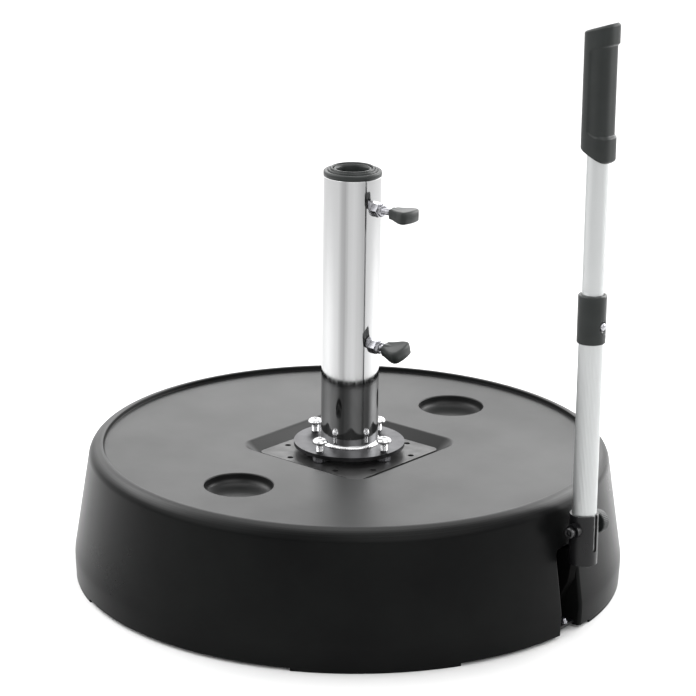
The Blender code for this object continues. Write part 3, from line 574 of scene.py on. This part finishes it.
def make_slot_lining():
    """The slot's rounded edge and its side walls, which turn in from the housing's wall."""
    fillet, depth, corner = 3.6 * MM, 21 * MM, 5 * MM
    foot, bend_z = EDGE_Z + 0.2 * MM, SLOT_TOP - corner
    side = []
    for i in range(14):
        side.append((SLOT_HALF, foot + (bend_z - foot) * i / 14, 1, 0))
    for y, z in arc(0, 0, corner, 0, 90, 8):
        side.append((SLOT_HALF - corner + y, bend_z + z, y / corner, z / corner))
    path = [(SLOT_Y - y, z, -ny, nz) for y, z, ny, nz in side]
    path += [(SLOT_Y + y, z, ny, nz) for y, z, ny, nz in reversed(side)]
    rows = []
    for step in range(12):
        turn = math.radians(min(step, 10) * 9)
        out = fillet * (1 - math.sin(turn)) + 0.05 * MM * (step < 1)
        sink = fillet * (1 - math.cos(turn)) + (depth if step == 11 else 0)
        row = []
        for y, z, ny, nz in path:
            yy, zz = y + ny * out, z + nz * out
            r = wall_radius(max(zz, foot)) - sink - 0.05 * MM
            row.append((math.sqrt(max(r * r - yy * yy, 0)), yy, max(zz, foot)))
        rows.append(row)
    lining = grid_object("slot_lining", rows, ring=False, sharp=60)
    solid = lining.modifiers.new("thickness", "SOLIDIFY")
    solid.thickness = 1.2 * MM
    solid.offset = -1
    bake(lining, 60)
    piece(lining, "base", WALL_PLASTIC)


def make_feet():
    """The four shallow feet under the housing's edge."""
    for number, (start, end) in enumerate(((9, 63), (117, 151), (209, 243), (299, 333)), 1):
        rows = []
        count = 40
        for i in range(count):
            angle = math.radians(start + (end - start) * i / (count - 1))
            section = [(FOOT_R - WALL + 0.3 * MM, EDGE_Z + 0.6 * MM), (FOOT_R - WALL + 0.3 * MM, 0.3 * MM),
                       (FOOT_R - WALL + 0.6 * MM, 0), (FOOT_R - 0.7 * MM, 0), (FOOT_R - 0.25 * MM, 0.4 * MM),
                       (FOOT_R - 0.25 * MM, EDGE_Z + 0.6 * MM)]
            rows.append([(r * math.cos(angle), r * math.sin(angle), z) for r, z in section])
        foot = grid_object(f"housing_foot_{number}", rows, cap_start=True, cap_end=True)
        piece(foot, "base", WALL_PLASTIC)


# -------- fasteners
def thread_radius(angle, z, pitch, depth):
    """How far a 60 degree thread falls below its crest at an angle and a height."""
    phase = (z / pitch - angle / (2 * math.pi)) % 1.0
    return -depth * abs(2 * phase - 1)


def threaded(name, radius, start, end, pitch, steps=36, tip=0.6 * MM):
    """A threaded rod with a helical thread and a chamfered tip at its start."""
    rows = max(8, int((end - start) / pitch * 8))
    depth = 0.55 * pitch
    profile = [(0, start), (radius - tip * 1.2, start)]
    for i in range(rows + 1):
        profile.append((radius, start + tip + (end - start - tip) * i / rows))
    profile.append((0, end))

    def wobble(angle, z):
        return thread_radius(angle, z, pitch, depth) if z > start + 1e-6 else 0

    return turned(name, profile, steps, wobble=wobble, sharp=70)


def hexagon(across, turn=0.0):
    """The outline of a hexagon by its width across flats."""
    radius = across / math.sqrt(3)
    turns = [turn + i * math.pi / 3 for i in range(6)]
    return [(radius * math.cos(angle), radius * math.sin(angle)) for angle in turns]


def hex_nut(name, across, low, high, bore, turn=0.0):
    """A hexagon nut with chamfered corners and a countersunk bore."""
    nut = prism(name, hexagon(across, turn), low, high)
    narrow, wide, fall = across * 0.475, across * 0.62, across * 0.10
    chamfer = turned("chamfer", [(0, high), (narrow, high), (wide, high - fall), (wide, low + fall),
                                 (narrow, low), (0, low)], 64)
    carve(nut, chamfer, operation="INTERSECT")
    sink = 0.5 * MM
    hole = turned("bore", [(0, high + MM), (bore + sink + MM, high + MM), (bore, high - sink), (bore, low + sink),
                           (bore + sink + MM, low - MM), (0, low - MM)], 40)
    return carve(nut, hole)


def hex_socket(across, top, depth):
    """A cutter for a hexagon socket with a flat floor."""
    return prism("socket", hexagon(across, 0.3), top - depth, top + MM)


def make_flange_screws():
    """Button-head screws with sockets and threads, and the levelling nuts under the flange."""
    for number in range(1, 5):
        low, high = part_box(f"flange_screw_{number}")
        place = middle(f"flange_screw_{number}")
        radius = (high.x - low.x) / 2
        under = high.z - 5 * MM
        head = [(0, high.z), (radius * 0.42, high.z)]
        for step in range(1, 10):
            turn = step * QUARTER / 9
            head.append((radius * (0.42 + 0.58 * math.sin(turn)), under + MM + 4 * MM * math.cos(turn)))
        head += [(radius, under + 0.5 * MM), (radius - 0.4 * MM, under), (0, under)]
        screw = turned(f"button_head_{number}", head, 64)
        carve(screw, hex_socket(5 * MM, high.z, 2.8 * MM))
        bevelled(screw, 0.15 * MM, 2, 40)
        shift(screw, place)
        piece(screw, "base", TURNED_STEEL, [f"flange_screw_{number}"])
        shank = threaded(f"screw_thread_{number}", BOLT_THREAD_R, low.z, under + 0.2 * MM, 1.25 * MM)
        shift(shank, place)
        piece(shank, "base", TURNED_STEEL)
        low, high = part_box(f"levelling_nut_{number}")
        nut = hex_nut(f"level_nut_{number}", high.x - low.x, low.z, high.z, 4.1 * MM, number * 0.4)
        shift(nut, place)
        piece(nut, "base", ZINC, [f"levelling_nut_{number}"])


def make_slot_screw():
    """The stud, washer and nut on the chassis plate at the foot of the lever slot."""
    low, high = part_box("slot_screw")
    place, across = middle("slot_screw"), high.y - low.y
    washer = rod("slot_washer", across / 2, low.z, low.z + 0.8 * MM, 48)
    bevelled(washer, 0.15 * MM, 2, 40)
    nut = hex_nut("slot_nut", across * 0.86, low.z + 0.8 * MM, high.z - 2 * MM, 2.6 * MM, 0.3)
    stud = threaded("slot_stud", 2.5 * MM, low.z + 0.3 * MM, high.z, 0.8 * MM)
    for number, part in enumerate((washer, nut, stud)):
        shift(part, place)
        piece(part, "base", ZINC, ["slot_screw"] if number == 0 else [])


# -------- clamping tube
def make_flange():
    """The plate in the well and the polished flange above it."""
    half, low, high = PLATE_HIGH.x, PLATE_LOW.z, PLATE_HIGH.z
    plate = prism("well_plate", rounded(half, half, 8 * MM, 10), low, high)
    tools = [rod("hole", 14 * MM, low - MM, high + MM)]
    for number, bolt_hole in enumerate(bolt_holes(low, high, 32)):
        tools.append(bolt_hole)
        for turn in (-SPARE_TURN, SPARE_TURN):
            angle = (number + 0.5) * QUARTER + turn
            place = (SPARE_CIRCLE * math.cos(angle), SPARE_CIRCLE * math.sin(angle), 0)
            tools.append(rod("hole", SPARE_HOLE_R, low - MM, high + MM, 32, place=place))
    carve(plate, *tools)
    bevelled(plate, 0.5 * MM, 2)
    even_shading(plate)
    piece(plate, "base", PLATE_COAT, ["mounting_plate"])

    radius, low, high = FLANGE_HIGH.x, FLANGE_LOW.z, FLANGE_HIGH.z - 0.5 * MM
    flange = rod("flange", radius, low, high, 160)
    carve(flange, rod("seat", 27 * MM, low + MM, high + 0.5 * MM, 96), operation="UNION")
    carve(flange, rod("hole", 6 * MM, low - MM, high + MM, 48), *bolt_holes(low, high, 40))
    bevelled(flange, 0.45 * MM, 3)
    even_shading(flange)
    piece(flange, "base", FLANGE_PLATE, ["tube_flange"])


def make_weld():
    """The uneven weld bead between the tube and the flange."""
    bead_low, bead_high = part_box("weld_bead")
    inner, toe = TUBE_R - 0.2 * MM, TUBE_R + 0.4 * MM
    rise = bead_high.z - bead_low.z - 0.3 * MM
    random.seed(7)
    waves = [random.uniform(0, 6.28) for _ in range(3)]
    rows = []
    for i in range(360):
        angle = math.radians(i)
        swell = sum(math.sin(angle * count + wave) for count, wave in zip((5, 11, 17), waves))
        ripple = 0.10 * MM * math.sin(angle * 90) + 0.06 * MM * swell
        section = [(inner, bead_low.z), (inner, bead_high.z), (toe, bead_high.z - 0.2 * MM + ripple / 2)]
        for step in range(1, 6):
            turn = step * QUARTER / 6
            section.append((toe + (2.6 * MM + ripple) * math.sin(turn), bead_low.z + rise * math.cos(turn)))
        section.append((toe + 2.6 * MM + ripple, bead_low.z))
        rows.append([(r * math.cos(angle), r * math.sin(angle), z) for r, z in section])
    bead = grid_object("weld_ring", rows, loop=True, sharp=60)
    piece(bead, "base", TURNED_STEEL, ["weld_bead"])


def make_tube():
    """The polished tube, drilled for its two clamping screws."""
    bore, edge, rows = TUBE_R - 2 * MM, TUBE_HIGH.z - 0.4 * MM, 12
    profile = [(TUBE_R - 0.4 * MM, TUBE_HIGH.z), (TUBE_R, edge)]
    profile += [(TUBE_R, edge + (TUBE_LOW.z - edge) * i / rows) for i in range(1, rows + 1)]
    profile += [(bore, TUBE_LOW.z), (bore, TUBE_HIGH.z)]
    tube = turned("clamp_tube", profile, 192, loop=True)
    heights = [middle(f"screw_shank_{name}").z for name in ("upper", "lower")]
    carve(tube, *[rod("hole", 4.4 * MM, 20 * MM, 40 * MM, 40, "X", (0, 0, z)) for z in heights])
    even_shading(tube)
    piece(tube, "base", TUBE_STEEL, ["stand_tube"])


def make_cap():
    """The moulded end cap with its stepped rings, and the reducing sleeve inside it."""
    radius, low, top, seat = CAP_HIGH.x, CAP_LOW.z, CAP_HIGH.z, CAP_LOW.z + 10 * MM
    bore, plug = 20.5 * MM, TUBE_R - 2.3 * MM
    steps = ((20.5, 1.0), (20.8, 0.3), (21.3, 0.0), (22.2, 0.0), (22.6, 0.3), (22.8, 2.2), (23.3, 2.2),
             (23.5, 1.6), (24.0, 1.3), (24.8, 1.4), (25.2, 1.8), (25.4, 3.6), (25.9, 3.6), (26.1, 3.1),
             (26.6, 2.9), (27.6, 3.0))
    profile = [(out * MM, top - fall * MM) for out, fall in steps]
    profile += arc(radius - 1.7 * MM, top - 4.7 * MM, 1.7 * MM, 90, 0, 8)
    profile += [(radius, seat + 0.4 * MM), (radius - 0.3 * MM, seat), (plug, seat), (plug, low)]
    profile += [(bore + 2 * MM, low), (bore, low + 2 * MM)]
    cap = turned("end_cap", profile, 128, loop=True, sharp=50)
    piece(cap, "base", GRIP, ["tube_cap"])

    inner, outer, low, top = 16.5 * MM, bore - 0.3 * MM, SLEEVE_LOW.z, SLEEVE_HIGH.z
    profile = [(inner, top - 2.4 * MM), (inner + 0.5 * MM, top - 0.9 * MM), (inner + 1.5 * MM, top)]
    profile += [(inner + 2.3 * MM, top), (outer, top - 1.2 * MM), (outer, low + MM), (outer - MM, low)]
    profile += [(inner + 0.6 * MM, low), (inner, low + 0.6 * MM)]
    sleeve = turned("pole_sleeve", profile, 128, loop=True, sharp=50)
    piece(sleeve, "base", GRIP, ["reducer_sleeve"])


def wing_ring(start, inset):
    """The plan of a wing knob, drawn in by an inset: a fan with concave sides and a bowed outer edge."""
    stem, half, length = WING_STEM - inset, WING_HALF - inset, WING_LENGTH - inset
    corner = WING_CORNER - inset * 0.6
    side = []
    for i in range(17):
        t = i / 16
        x = start + inset + t * (length - inset - corner - MM)
        side.append((x, stem + (half - stem) * smooth_step(t, -0.25, 1.0) ** 1.15))
    side += arc(start + length - corner - MM, half - corner, corner, 84, 14, 10)
    tip = side[-1]
    for i in range(1, 7):
        t = i / 6
        side.append((tip[0] + (start + length - tip[0]) * math.sin(t * QUARTER), tip[1] * (1 - t)))
    return [(x, -y) for x, y in side] + [(x, y) for x, y in reversed(side[:-1])]


def wing_knob(name, start):
    """A moulded wing knob along X: soft rounded faces, thinner at the stem, with a round hub."""
    middle_x = start + WING_LENGTH * 0.52
    flat = []
    for share, rise in ((0.15, 0.50), (0.5, 0.35), (0.88, 0.05)):
        level = rise * MM - WING_THICK
        ring = wing_ring(start, WING_ROUNDING)
        flat.append([(middle_x + (x - middle_x) * share, y * share, level) for x, y in ring])
    rows = list(flat)
    for i in range(9):
        turn = math.radians(-90 + 180 * i / 8)
        level = math.copysign(WING_THICK - WING_ROUNDING, turn) if i != 4 else 0
        ring = wing_ring(start, WING_ROUNDING * (1 - math.cos(turn)))
        rows.append([(x, y, level + WING_ROUNDING * math.sin(turn)) for x, y in ring])
    rows += [[(x, y, -level) for x, y, level in row] for row in reversed(flat)]
    for row in rows:
        row[:] = [(x, y, up * (0.86 + 0.14 * smooth_step(x - start, 4 * MM, 20 * MM))) for x, y, up in row]
    knob = grid_object(f"wing_{name}", rows, cap_start=True, cap_end=True, sharp=50)
    hub = turned("hub", [(0, start), (5.4 * MM, start), (6.0 * MM, start + 0.6 * MM), (5.4 * MM, start + 12 * MM),
                         (3 * MM, start + 16 * MM), (0, start + 17 * MM)], 48)
    carve(knob, move(hub, along("X", (0, 0, 0))), operation="UNION", sharp=50)
    return carve(knob, rod("bore", 3.6 * MM, start - 0.01, start + 10.2 * MM, 32, "X"), sharp=50)


def make_wing_screws():
    """The two clamping screws: welded nut, lock nut, threaded shank and moulded wing knob."""
    for name, tilt in (("upper", 0), ("lower", 17)):
        low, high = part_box(f"weld_nut_{name}")
        z, across, weld_end = (low.z + high.z) / 2, high.z - low.z, high.x - 1.5 * MM
        nut = hex_nut(f"welded_nut_{name}", across * 0.90, 27 * MM, weld_end, NUT_BORE_R, QUARTER)
        move(nut, along("X", (0, 0, z)))
        carve(nut, rod("saddle", TUBE_R + 0.05 * MM, z - 0.03, z + 0.03, 96))
        piece(nut, "base", ZINC, [f"weld_nut_{name}"])

        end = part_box(f"lock_nut_{name}")[1].x - 2.5 * MM
        thin = hex_nut(f"thin_nut_{name}", across * 0.78, weld_end, end, NUT_BORE_R, QUARTER + 0.35)
        move(thin, along("X", (0, 0, z)))
        piece(thin, "base", ZINC, [f"lock_nut_{name}"])

        low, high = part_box(f"screw_shank_{name}")
        shank = threaded(f"clamp_thread_{name}", CLAMP_THREAD_R, low.x, high.x, 1.25 * MM)
        move(shank, along("X", (0, 0, z)))
        piece(shank, f"screw_{name}", ZINC, [f"screw_shank_{name}"])

        knob = wing_knob(name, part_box(f"wing_knob_{name}")[0].x)
        move(knob, Matrix.Translation((0, 0, z)) @ Matrix.Rotation(math.radians(tilt), 4, "X"))
        piece(knob, f"screw_{name}", GRIP, [f"wing_knob_{name}"])


# -------- lever and handle
def upright(obj):
    """Moves a piece turned about the origin onto the handle's axis."""
    return move(obj, Matrix.Translation(HANDLE))


def make_socket():
    """The split black socket with its worn edges, boss and lug, slit and the hole for the cross bolt."""
    radius, low, high = SOCKET_HIGH.x - HANDLE.x, SOCKET_LOW.z, SOCKET_HIGH.z
    bore = OUTER_HIGH.x - HANDLE.x + 0.15 * MM
    tube = turned("split_socket", [(0, high), (radius, high), (radius, low), (0, low)], 112)
    at_clamp = (0, 0, CLAMP.z)
    boss = rod("boss", 7.5 * MM, -19.4 * MM, 0, 64, "Y", at_clamp)
    lug = rod("lug", 7.0 * MM, 0, 17.2 * MM, 64, "Y", at_clamp)
    carve(tube, boss, lug, operation="UNION")
    slit_low = 92 * MM
    slit = prism("slit", rounded(15 * MM, 2.4 * MM, 0.2 * MM, 2, (15 * MM, 0)), slit_low, high + MM)
    inside = rod("inside", bore, low + 3 * MM, high + MM, 112)
    cross = rod("cross", 4 * MM, -0.05, 0.05, 40, "Y", at_clamp)
    carve(tube, inside, slit, cross)
    tube.data.materials.clear()
    tube.data.materials.append(BLACK)
    tube.data.materials.append(BARE)
    bevelled(tube, 0.45 * MM, 2, 55)
    for face in tube.data.polygons:
        at, out = face.center, face.normal
        outside = math.hypot(at.x, at.y) > radius - 0.6 * MM
        slanted = 0.32 < abs(out.y) < 0.95
        by_slit = slanted and at.x > radius - 0.9 * MM and abs(at.y) < 3.1 * MM and at.z > slit_low - MM
        by_foot = at.z < low + 0.5 * MM and outside and at.x > -2 * MM and abs(out.z) < 0.97
        by_top = at.z > high - 0.5 * MM and outside and at.x > 2 * MM and 0.15 < out.z < 0.97
        face.material_index = 1 if by_slit or by_foot or by_top else 0
    even_shading(tube)
    upright(tube)
    piece(tube, "lever", None, ["lever_socket"])


def make_clamp():
    """The socket's cross bolt and its round fluted knob."""
    low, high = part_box("clamp_bolt")
    centre = (HANDLE.x, HANDLE.y, CLAMP.z)
    head_r, edge = min((high.x - low.x) / 2, 5.2 * MM), 0.8 * MM
    start, end = low.y - HANDLE.y, high.y - HANDLE.y
    under = start + 5.4 * MM
    head = [(0, start), (head_r - edge, start), (head_r, start + edge), (head_r, under), (0, under)]
    bolt = turned("cross_bolt", head, 64)
    carve(bolt, prism("key", hexagon(5 * MM), start - MM, start + 3 * MM))
    bevelled(bolt, 0.15 * MM, 2, 40)
    move(bolt, along("Y", centre))
    piece(bolt, "lever", FLANGE_PLATE, ["clamp_bolt"])
    shank = threaded("cross_thread", CLAMP_THREAD_R, start + 5.2 * MM, end, 1.0 * MM)
    move(shank, along("Y", centre))
    piece(shank, "lever", ZINC)

    low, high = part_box("clamp_knob")
    radius, bore, depth, edge, lobes = (high.x - low.x) / 2, 3.8 * MM, 7 * MM, 1.6 * MM, 40
    start, end = low.y - HANDLE.y, high.y - HANDLE.y

    def flute(angle, z):
        return -0.35 * MM * (0.5 - 0.5 * math.cos(lobes * angle))

    profile = [(0, end - 0.8 * MM), (radius * 0.5, end - 0.8 * MM), (radius * 0.62, end - 0.2 * MM)]
    profile += [(radius - 2.0 * MM, end), *arc(radius - edge, end - edge, edge, 80, 0, 6)]
    profile += [*arc(radius - edge, start + 1.8 * MM, edge, 0, -80, 6), (radius * 0.55, start + 0.2 * MM)]
    profile += [(radius * 0.5, start), (bore, start), (bore, start + depth), (0, start + depth)]
    rows = [circle(max(r, 1e-9), 320, z, flute if r > radius * 0.7 else None) for r, z in profile]
    knob = grid_object("tightening_knob", rows, sharp=50)
    move(knob, along("Y", centre))
    piece(knob, "clamp_knob", GRIP, ["clamp_knob"])


def make_lever_arm():
    """The cranked arm between the crank shaft and the socket, with rounded edges."""
    source = frame["nodes"]["lever_arm"]
    arm = bpy.data.objects.new("cranked_arm", source.data.copy())
    bpy.context.scene.collection.objects.link(arm)
    solid = bmesh.new()
    solid.from_mesh(arm.data)
    bmesh.ops.remove_doubles(solid, verts=solid.verts, dist=1e-6)
    bmesh.ops.dissolve_limit(solid, angle_limit=math.radians(2), verts=solid.verts, edges=solid.edges)
    solid.to_mesh(arm.data)
    solid.free()
    bevelled(arm, 0.9 * MM, 3, 60)
    even_shading(arm)
    # the arm's near-black, barely reflecting material is painted shade for the shadow inside the slot
    piece(arm, "lever", SLOT_SHADE_BLACK, ["lever_arm"])


def make_outer_tube():
    """The handle's ribbed outer tube."""
    radius, low, high = OUTER_HIGH.x - HANDLE.x, OUTER_LOW.z, OUTER_HIGH.z
    bore, ribs = radius - 1.2 * MM, 54

    def rib(angle, z):
        return -0.22 * MM * (0.5 - 0.5 * math.cos(ribs * angle)) ** 1.5

    steps = ribs * 8
    rows = [circle(radius, steps, high, rib), circle(radius, steps, low, rib)]
    rows += [circle(bore, steps, low), circle(bore, steps, high)]
    tube = grid_object("ribbed_tube", rows, loop=True, sharp=60)
    carve(tube, rod("hole", 4.0 * MM, -0.05, 0.05, 32, "Y", (0, 0, CLAMP.z)),
          rod("hole", 4.3 * MM, 5 * MM, 20 * MM, 32, "X", (0, 0, BUTTON.z)), sharp=60)
    upright(tube)
    piece(tube, "lever", ALUMINIUM, ["handle_outer_tube"])


def make_collar():
    """The collar at the top of the outer tube, with its lock button."""
    collar_r, low, high = COLLAR_HIGH.x - HANDLE.x, COLLAR_LOW.z, COLLAR_HIGH.z
    bore, seat = INNER_HIGH.x - HANDLE.x + 0.15 * MM, OUTER_HIGH.x - HANDLE.x + 0.1 * MM
    shelf = OUTER_HIGH.z + 0.3 * MM
    profile = [(bore, high - 0.8 * MM), (bore + 0.75 * MM, high)]
    profile += arc(collar_r - 1.4 * MM, high - 1.4 * MM, 1.4 * MM, 90, 0, 7)
    profile += arc(collar_r - 0.8 * MM, low + 0.8 * MM, 0.8 * MM, 0, -90, 5)
    profile += [(seat, low), (seat, shelf), (bore, shelf)]
    collar = turned("locking_collar", profile, 144, loop=True)
    notch = turned("notch", [(0, 5 * MM), (4.2 * MM, 5 * MM), (4.2 * MM, collar_r - 1.4 * MM),
                             (6.2 * MM, collar_r + 0.4 * MM), (0, collar_r + 0.4 * MM)], 64)
    carve(collar, move(notch, along("X", (0, 0, BUTTON.z))))
    bevelled(collar, 0.2 * MM, 2, 50)
    even_shading(collar)
    upright(collar)
    piece(collar, "lever", GRIP, ["telescope_collar"])

    radius, start, end = 4.0 * MM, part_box("lock_button")[0].x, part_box("lock_button")[1].x
    dome = [(0, end)]
    for step in range(1, 9):
        turn = step * QUARTER / 8
        dome.append((radius * math.sin(turn), end - 2.0 * MM * (1 - math.cos(turn))))
    button = turned("snap_button", dome + [(radius, start), (0, start)], 48)
    move(button, along("X", (0, BUTTON.y, BUTTON.z)))
    piece(button, "lock_button", ZINC, ["lock_button"])


def make_inner_tube():
    """The plain tube that slides in the outer one."""
    radius, low, high = INNER_HIGH.x - HANDLE.x, INNER_LOW.z, INNER_HIGH.z
    bore, edge = radius - 1.5 * MM, 0.4 * MM
    profile = [(radius, high), (radius, low + edge), (radius - edge, low), (bore, low), (bore, high)]
    inner = turned("sliding_tube", profile, 128, loop=True)
    even_shading(inner)
    upright(inner)
    piece(inner, "handle", ALUMINIUM, ["handle_inner_tube"])


def smooth_step(value, start, end):
    t = min(1.0, max(0.0, (value - start) / (end - start)))
    return t * t * (3 - 2 * t)


def make_grip():
    """The moulded grip: a D-shaped section, waisted on its outer side, with slanted ends."""
    low, high = GRIP_LOW.z, GRIP_HIGH.z
    depth, width = (GRIP_HIGH.x - GRIP_LOW.x) / 2, (GRIP_HIGH.y - GRIP_LOW.y) / 2
    rise_top, rise_low = 9.6 * MM, 11.6 * MM
    waist_low, waist_high = low + 24 * MM, high - 19.5 * MM
    stations, sides = 170, 144
    rows = []
    for i in range(stations + 1):
        t = i / stations
        row = []
        for k in range(sides):
            angle = 2 * math.pi * k / sides
            c, s = math.cos(angle), math.sin(angle)
            x = depth * math.copysign(abs(c) ** 0.70, c)
            y = width * math.copysign(abs(s) ** 0.70, s)
            across = (x + depth) / (2 * depth)
            bottom = low + rise_low * (1 - across)
            top = high - rise_top * (1 - across)
            z = bottom + (top - bottom) * t
            edge = min(t, 1 - t) * (top - bottom)
            shrink = 1 - 2.4 * MM * (1 - smooth_step(edge, -0.5 * MM, 3.0 * MM)) ** 2 / depth
            corner = 3.5 * MM * (1 - smooth_step(c, -0.14, 0.22)) ** 2
            upper = waist_high - rise_top * 0.55 * (1 - across) - corner
            lower = waist_low + rise_low * 0.15 * (1 - across) + corner
            inside = smooth_step(z, lower, lower + 3.0 * MM) * (1 - smooth_step(z, upper - 3.0 * MM, upper))
            sunk = inside * MM * smooth_step(c, -0.17, -0.05)
            x -= inside * 1.1 * MM * smooth_step(c, 0.1, 0.8) + sunk * max(c, 0)
            y -= sunk * s
            row.append((x * shrink, y * shrink, z))
        rows.append(row)
    grip = grid_object("moulded_grip", rows, cap_start=True, cap_end=True, sharp=60)
    bore = rod("bore", INNER_HIGH.x - HANDLE.x + 0.1 * MM, low - 0.02, INNER_HIGH.z + 0.3 * MM, 96)
    carve(grip, bore, sharp=50)
    upright(grip)
    piece(grip, "handle", GRIP, ["handle_grip"])


# -------- casters
def make_wheels():
    """Wheels with a rounded tread and a dished hub."""
    for name in ("front_right", "front_left", "rear_right", "rear_left"):
        low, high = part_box(f"caster_wheel_{name}")
        centre, radius, half = (low + high) / 2, (high.x - low.x) / 2, (high.y - low.y) / 2
        side = [(3.3 * MM, half), (6.5 * MM, half), (7.2 * MM, half - 1.6 * MM)]
        side += [(radius - 6 * MM, half - 1.8 * MM), (radius - 5 * MM, half - 0.4 * MM)]
        side += arc(radius - 3 * MM, half - 3 * MM, 3 * MM, 88, 0, 8)
        profile = side + [(out, -level) for out, level in reversed(side)]
        wheel = turned(f"wheel_{name}", profile, 96, loop=True)
        move(wheel, along("Y", centre))
        piece(wheel, f"wheel_{name}", RUBBER, [f"caster_wheel_{name}"])


# -------- stage, light and camera
CAMERA_AZIMUTH, CAMERA_REACH, CAMERA_HEIGHT = 40.0, 2.9005, 1.1376
CAMERA_PITCH, CAMERA_ROLL, CAMERA_YAW, CAMERA_LENS = 17.154, 0.734, 0.05, 151.17


def level_way(turn):
    """The level direction at an angle in degrees from the camera's right, anticlockwise from above."""
    angle = math.radians(CAMERA_AZIMUTH + turn)
    return math.cos(angle), math.sin(angle)


def make_stage():
    """A plain pale floor and a soft studio: bright behind and above, dim on the camera's side."""
    floor = grid_object("floor", [[(x, y, 0) for x in (-14, 14)] for y in (-14, 14)], ring=False)
    floor.data.materials.append(FLOOR_PAINT)

    world = bpy.data.worlds.new("studio")
    bpy.context.scene.world = world
    world.use_nodes = True
    nodes, links = world.node_tree.nodes, world.node_tree.links
    nodes.clear()
    output = nodes.new("ShaderNodeOutputWorld")
    place = nodes.new("ShaderNodeTexCoord")

    def facing(direction, low, high, value_low, value_high):
        """A strength that eases from one value to another as the sky turns to a direction."""
        dot = nodes.new("ShaderNodeVectorMath")
        dot.operation = "DOT_PRODUCT"
        dot.inputs[1].default_value = Vector(direction).normalized()
        links.new(place.outputs["Generated"], dot.inputs[0])
        ramp = nodes.new("ShaderNodeMapRange")
        ramp.interpolation_type = "SMOOTHSTEP"
        for index, number in enumerate((low, high, value_low, value_high), 1):
            ramp.inputs[index].default_value = number
        links.new(dot.outputs["Value"], ramp.inputs[0])
        return ramp.outputs[0]

    up, away, right = (0, 0, 1), (*level_way(90), 0.1), (*level_way(math.degrees(0.45)), 0.05)
    glows = [facing(away, -0.15, 0.45, 0.02, 1.40), facing(right, 0.80, 0.98, 0.0, 4.2),
             facing(up, 0.14, 0.28, 0.0, 1.2), facing(up, 0.45, 0.80, 0.0, -0.9)]
    for turn in (-165, -60):
        box = (*level_way(turn), math.tan(math.radians(36)))
        glows.append(facing(box, 0.82, 0.95, 0.0, 2.2))
    strength = glows[0]
    for glow in glows[1:]:
        total = nodes.new("ShaderNodeMath")
        total.operation = "ADD"
        links.new(strength, total.inputs[0])
        links.new(glow, total.inputs[1])
        strength = total.outputs[0]
    background = nodes.new("ShaderNodeBackground")
    background.inputs["Color"].default_value = (1, 1, 1, 1)
    links.new(strength, background.inputs["Strength"])
    links.new(background.outputs[0], output.inputs[0])


def area_light(name, place, target, size, power):
    data = bpy.data.lights.new(name, "AREA")
    data.shape = "RECTANGLE"
    data.size, data.size_y = size
    data.energy = power
    obj = bpy.data.objects.new(name, data)
    bpy.context.scene.collection.objects.link(obj)
    obj.location = place
    obj.rotation_euler = (Vector(target) - Vector(place)).to_track_quat("-Z", "Y").to_euler()


def make_lights():
    """A soft box above, one behind, and two low ones that light the floor on either side."""
    area_light("top_box", (0.0, 0.0, 2.6), (0, 0, 0.1), (2.0, 2.0), 24)
    area_light("back_box", (-1.25, 2.05, 1.30), (0, 0, 0.1), (2.2, 0.7), 9)
    (side_x, side_y), (away_x, away_y) = level_way(0), level_way(90)
    for side, ahead, power in ((0.80, 0.32, 9), (-0.80, 0.14, 6)):
        x, y = side * side_x + ahead * away_x, side * side_y + ahead * away_y
        area_light("floor_box", (x, y, 0.6), (x, y, 0), (0.6, 0.6), power)


def make_camera():
    data = bpy.data.cameras.new("camera")
    data.sensor_width = 36
    data.lens = CAMERA_LENS
    data.clip_end = 100
    camera = bpy.data.objects.new("camera", data)
    bpy.context.scene.collection.objects.link(camera)
    pitch, roll = math.radians(CAMERA_PITCH), math.radians(CAMERA_ROLL)
    level = Vector((*level_way(90 + CAMERA_YAW), 0))
    forward = level * math.cos(pitch) - Vector((0, 0, math.sin(pitch)))
    side = Vector((*level_way(CAMERA_YAW), 0))
    above = side.cross(forward)
    right = side * math.cos(roll) + above * math.sin(roll)
    up = right.cross(forward)
    turn = Matrix((right, up, -forward)).transposed().to_4x4()
    nearer = Vector((*level_way(-90), 0)) * CAMERA_REACH
    camera.matrix_world = Matrix.Translation((nearer.x, nearer.y, CAMERA_HEIGHT)) @ turn
    bpy.context.scene.camera = camera


bpy.context.scene.view_settings.view_transform = "Standard"
make_camera()
make_stage()
make_lights()

coat_frame()
make_housing()
make_slot_lining()
make_feet()
make_flange()
make_weld()
make_flange_screws()
make_slot_screw()
make_tube()
make_cap()
make_wing_screws()
make_socket()
make_clamp()
make_lever_arm()
make_outer_tube()
make_collar()
make_inner_tube()
make_grip()
make_wheels()
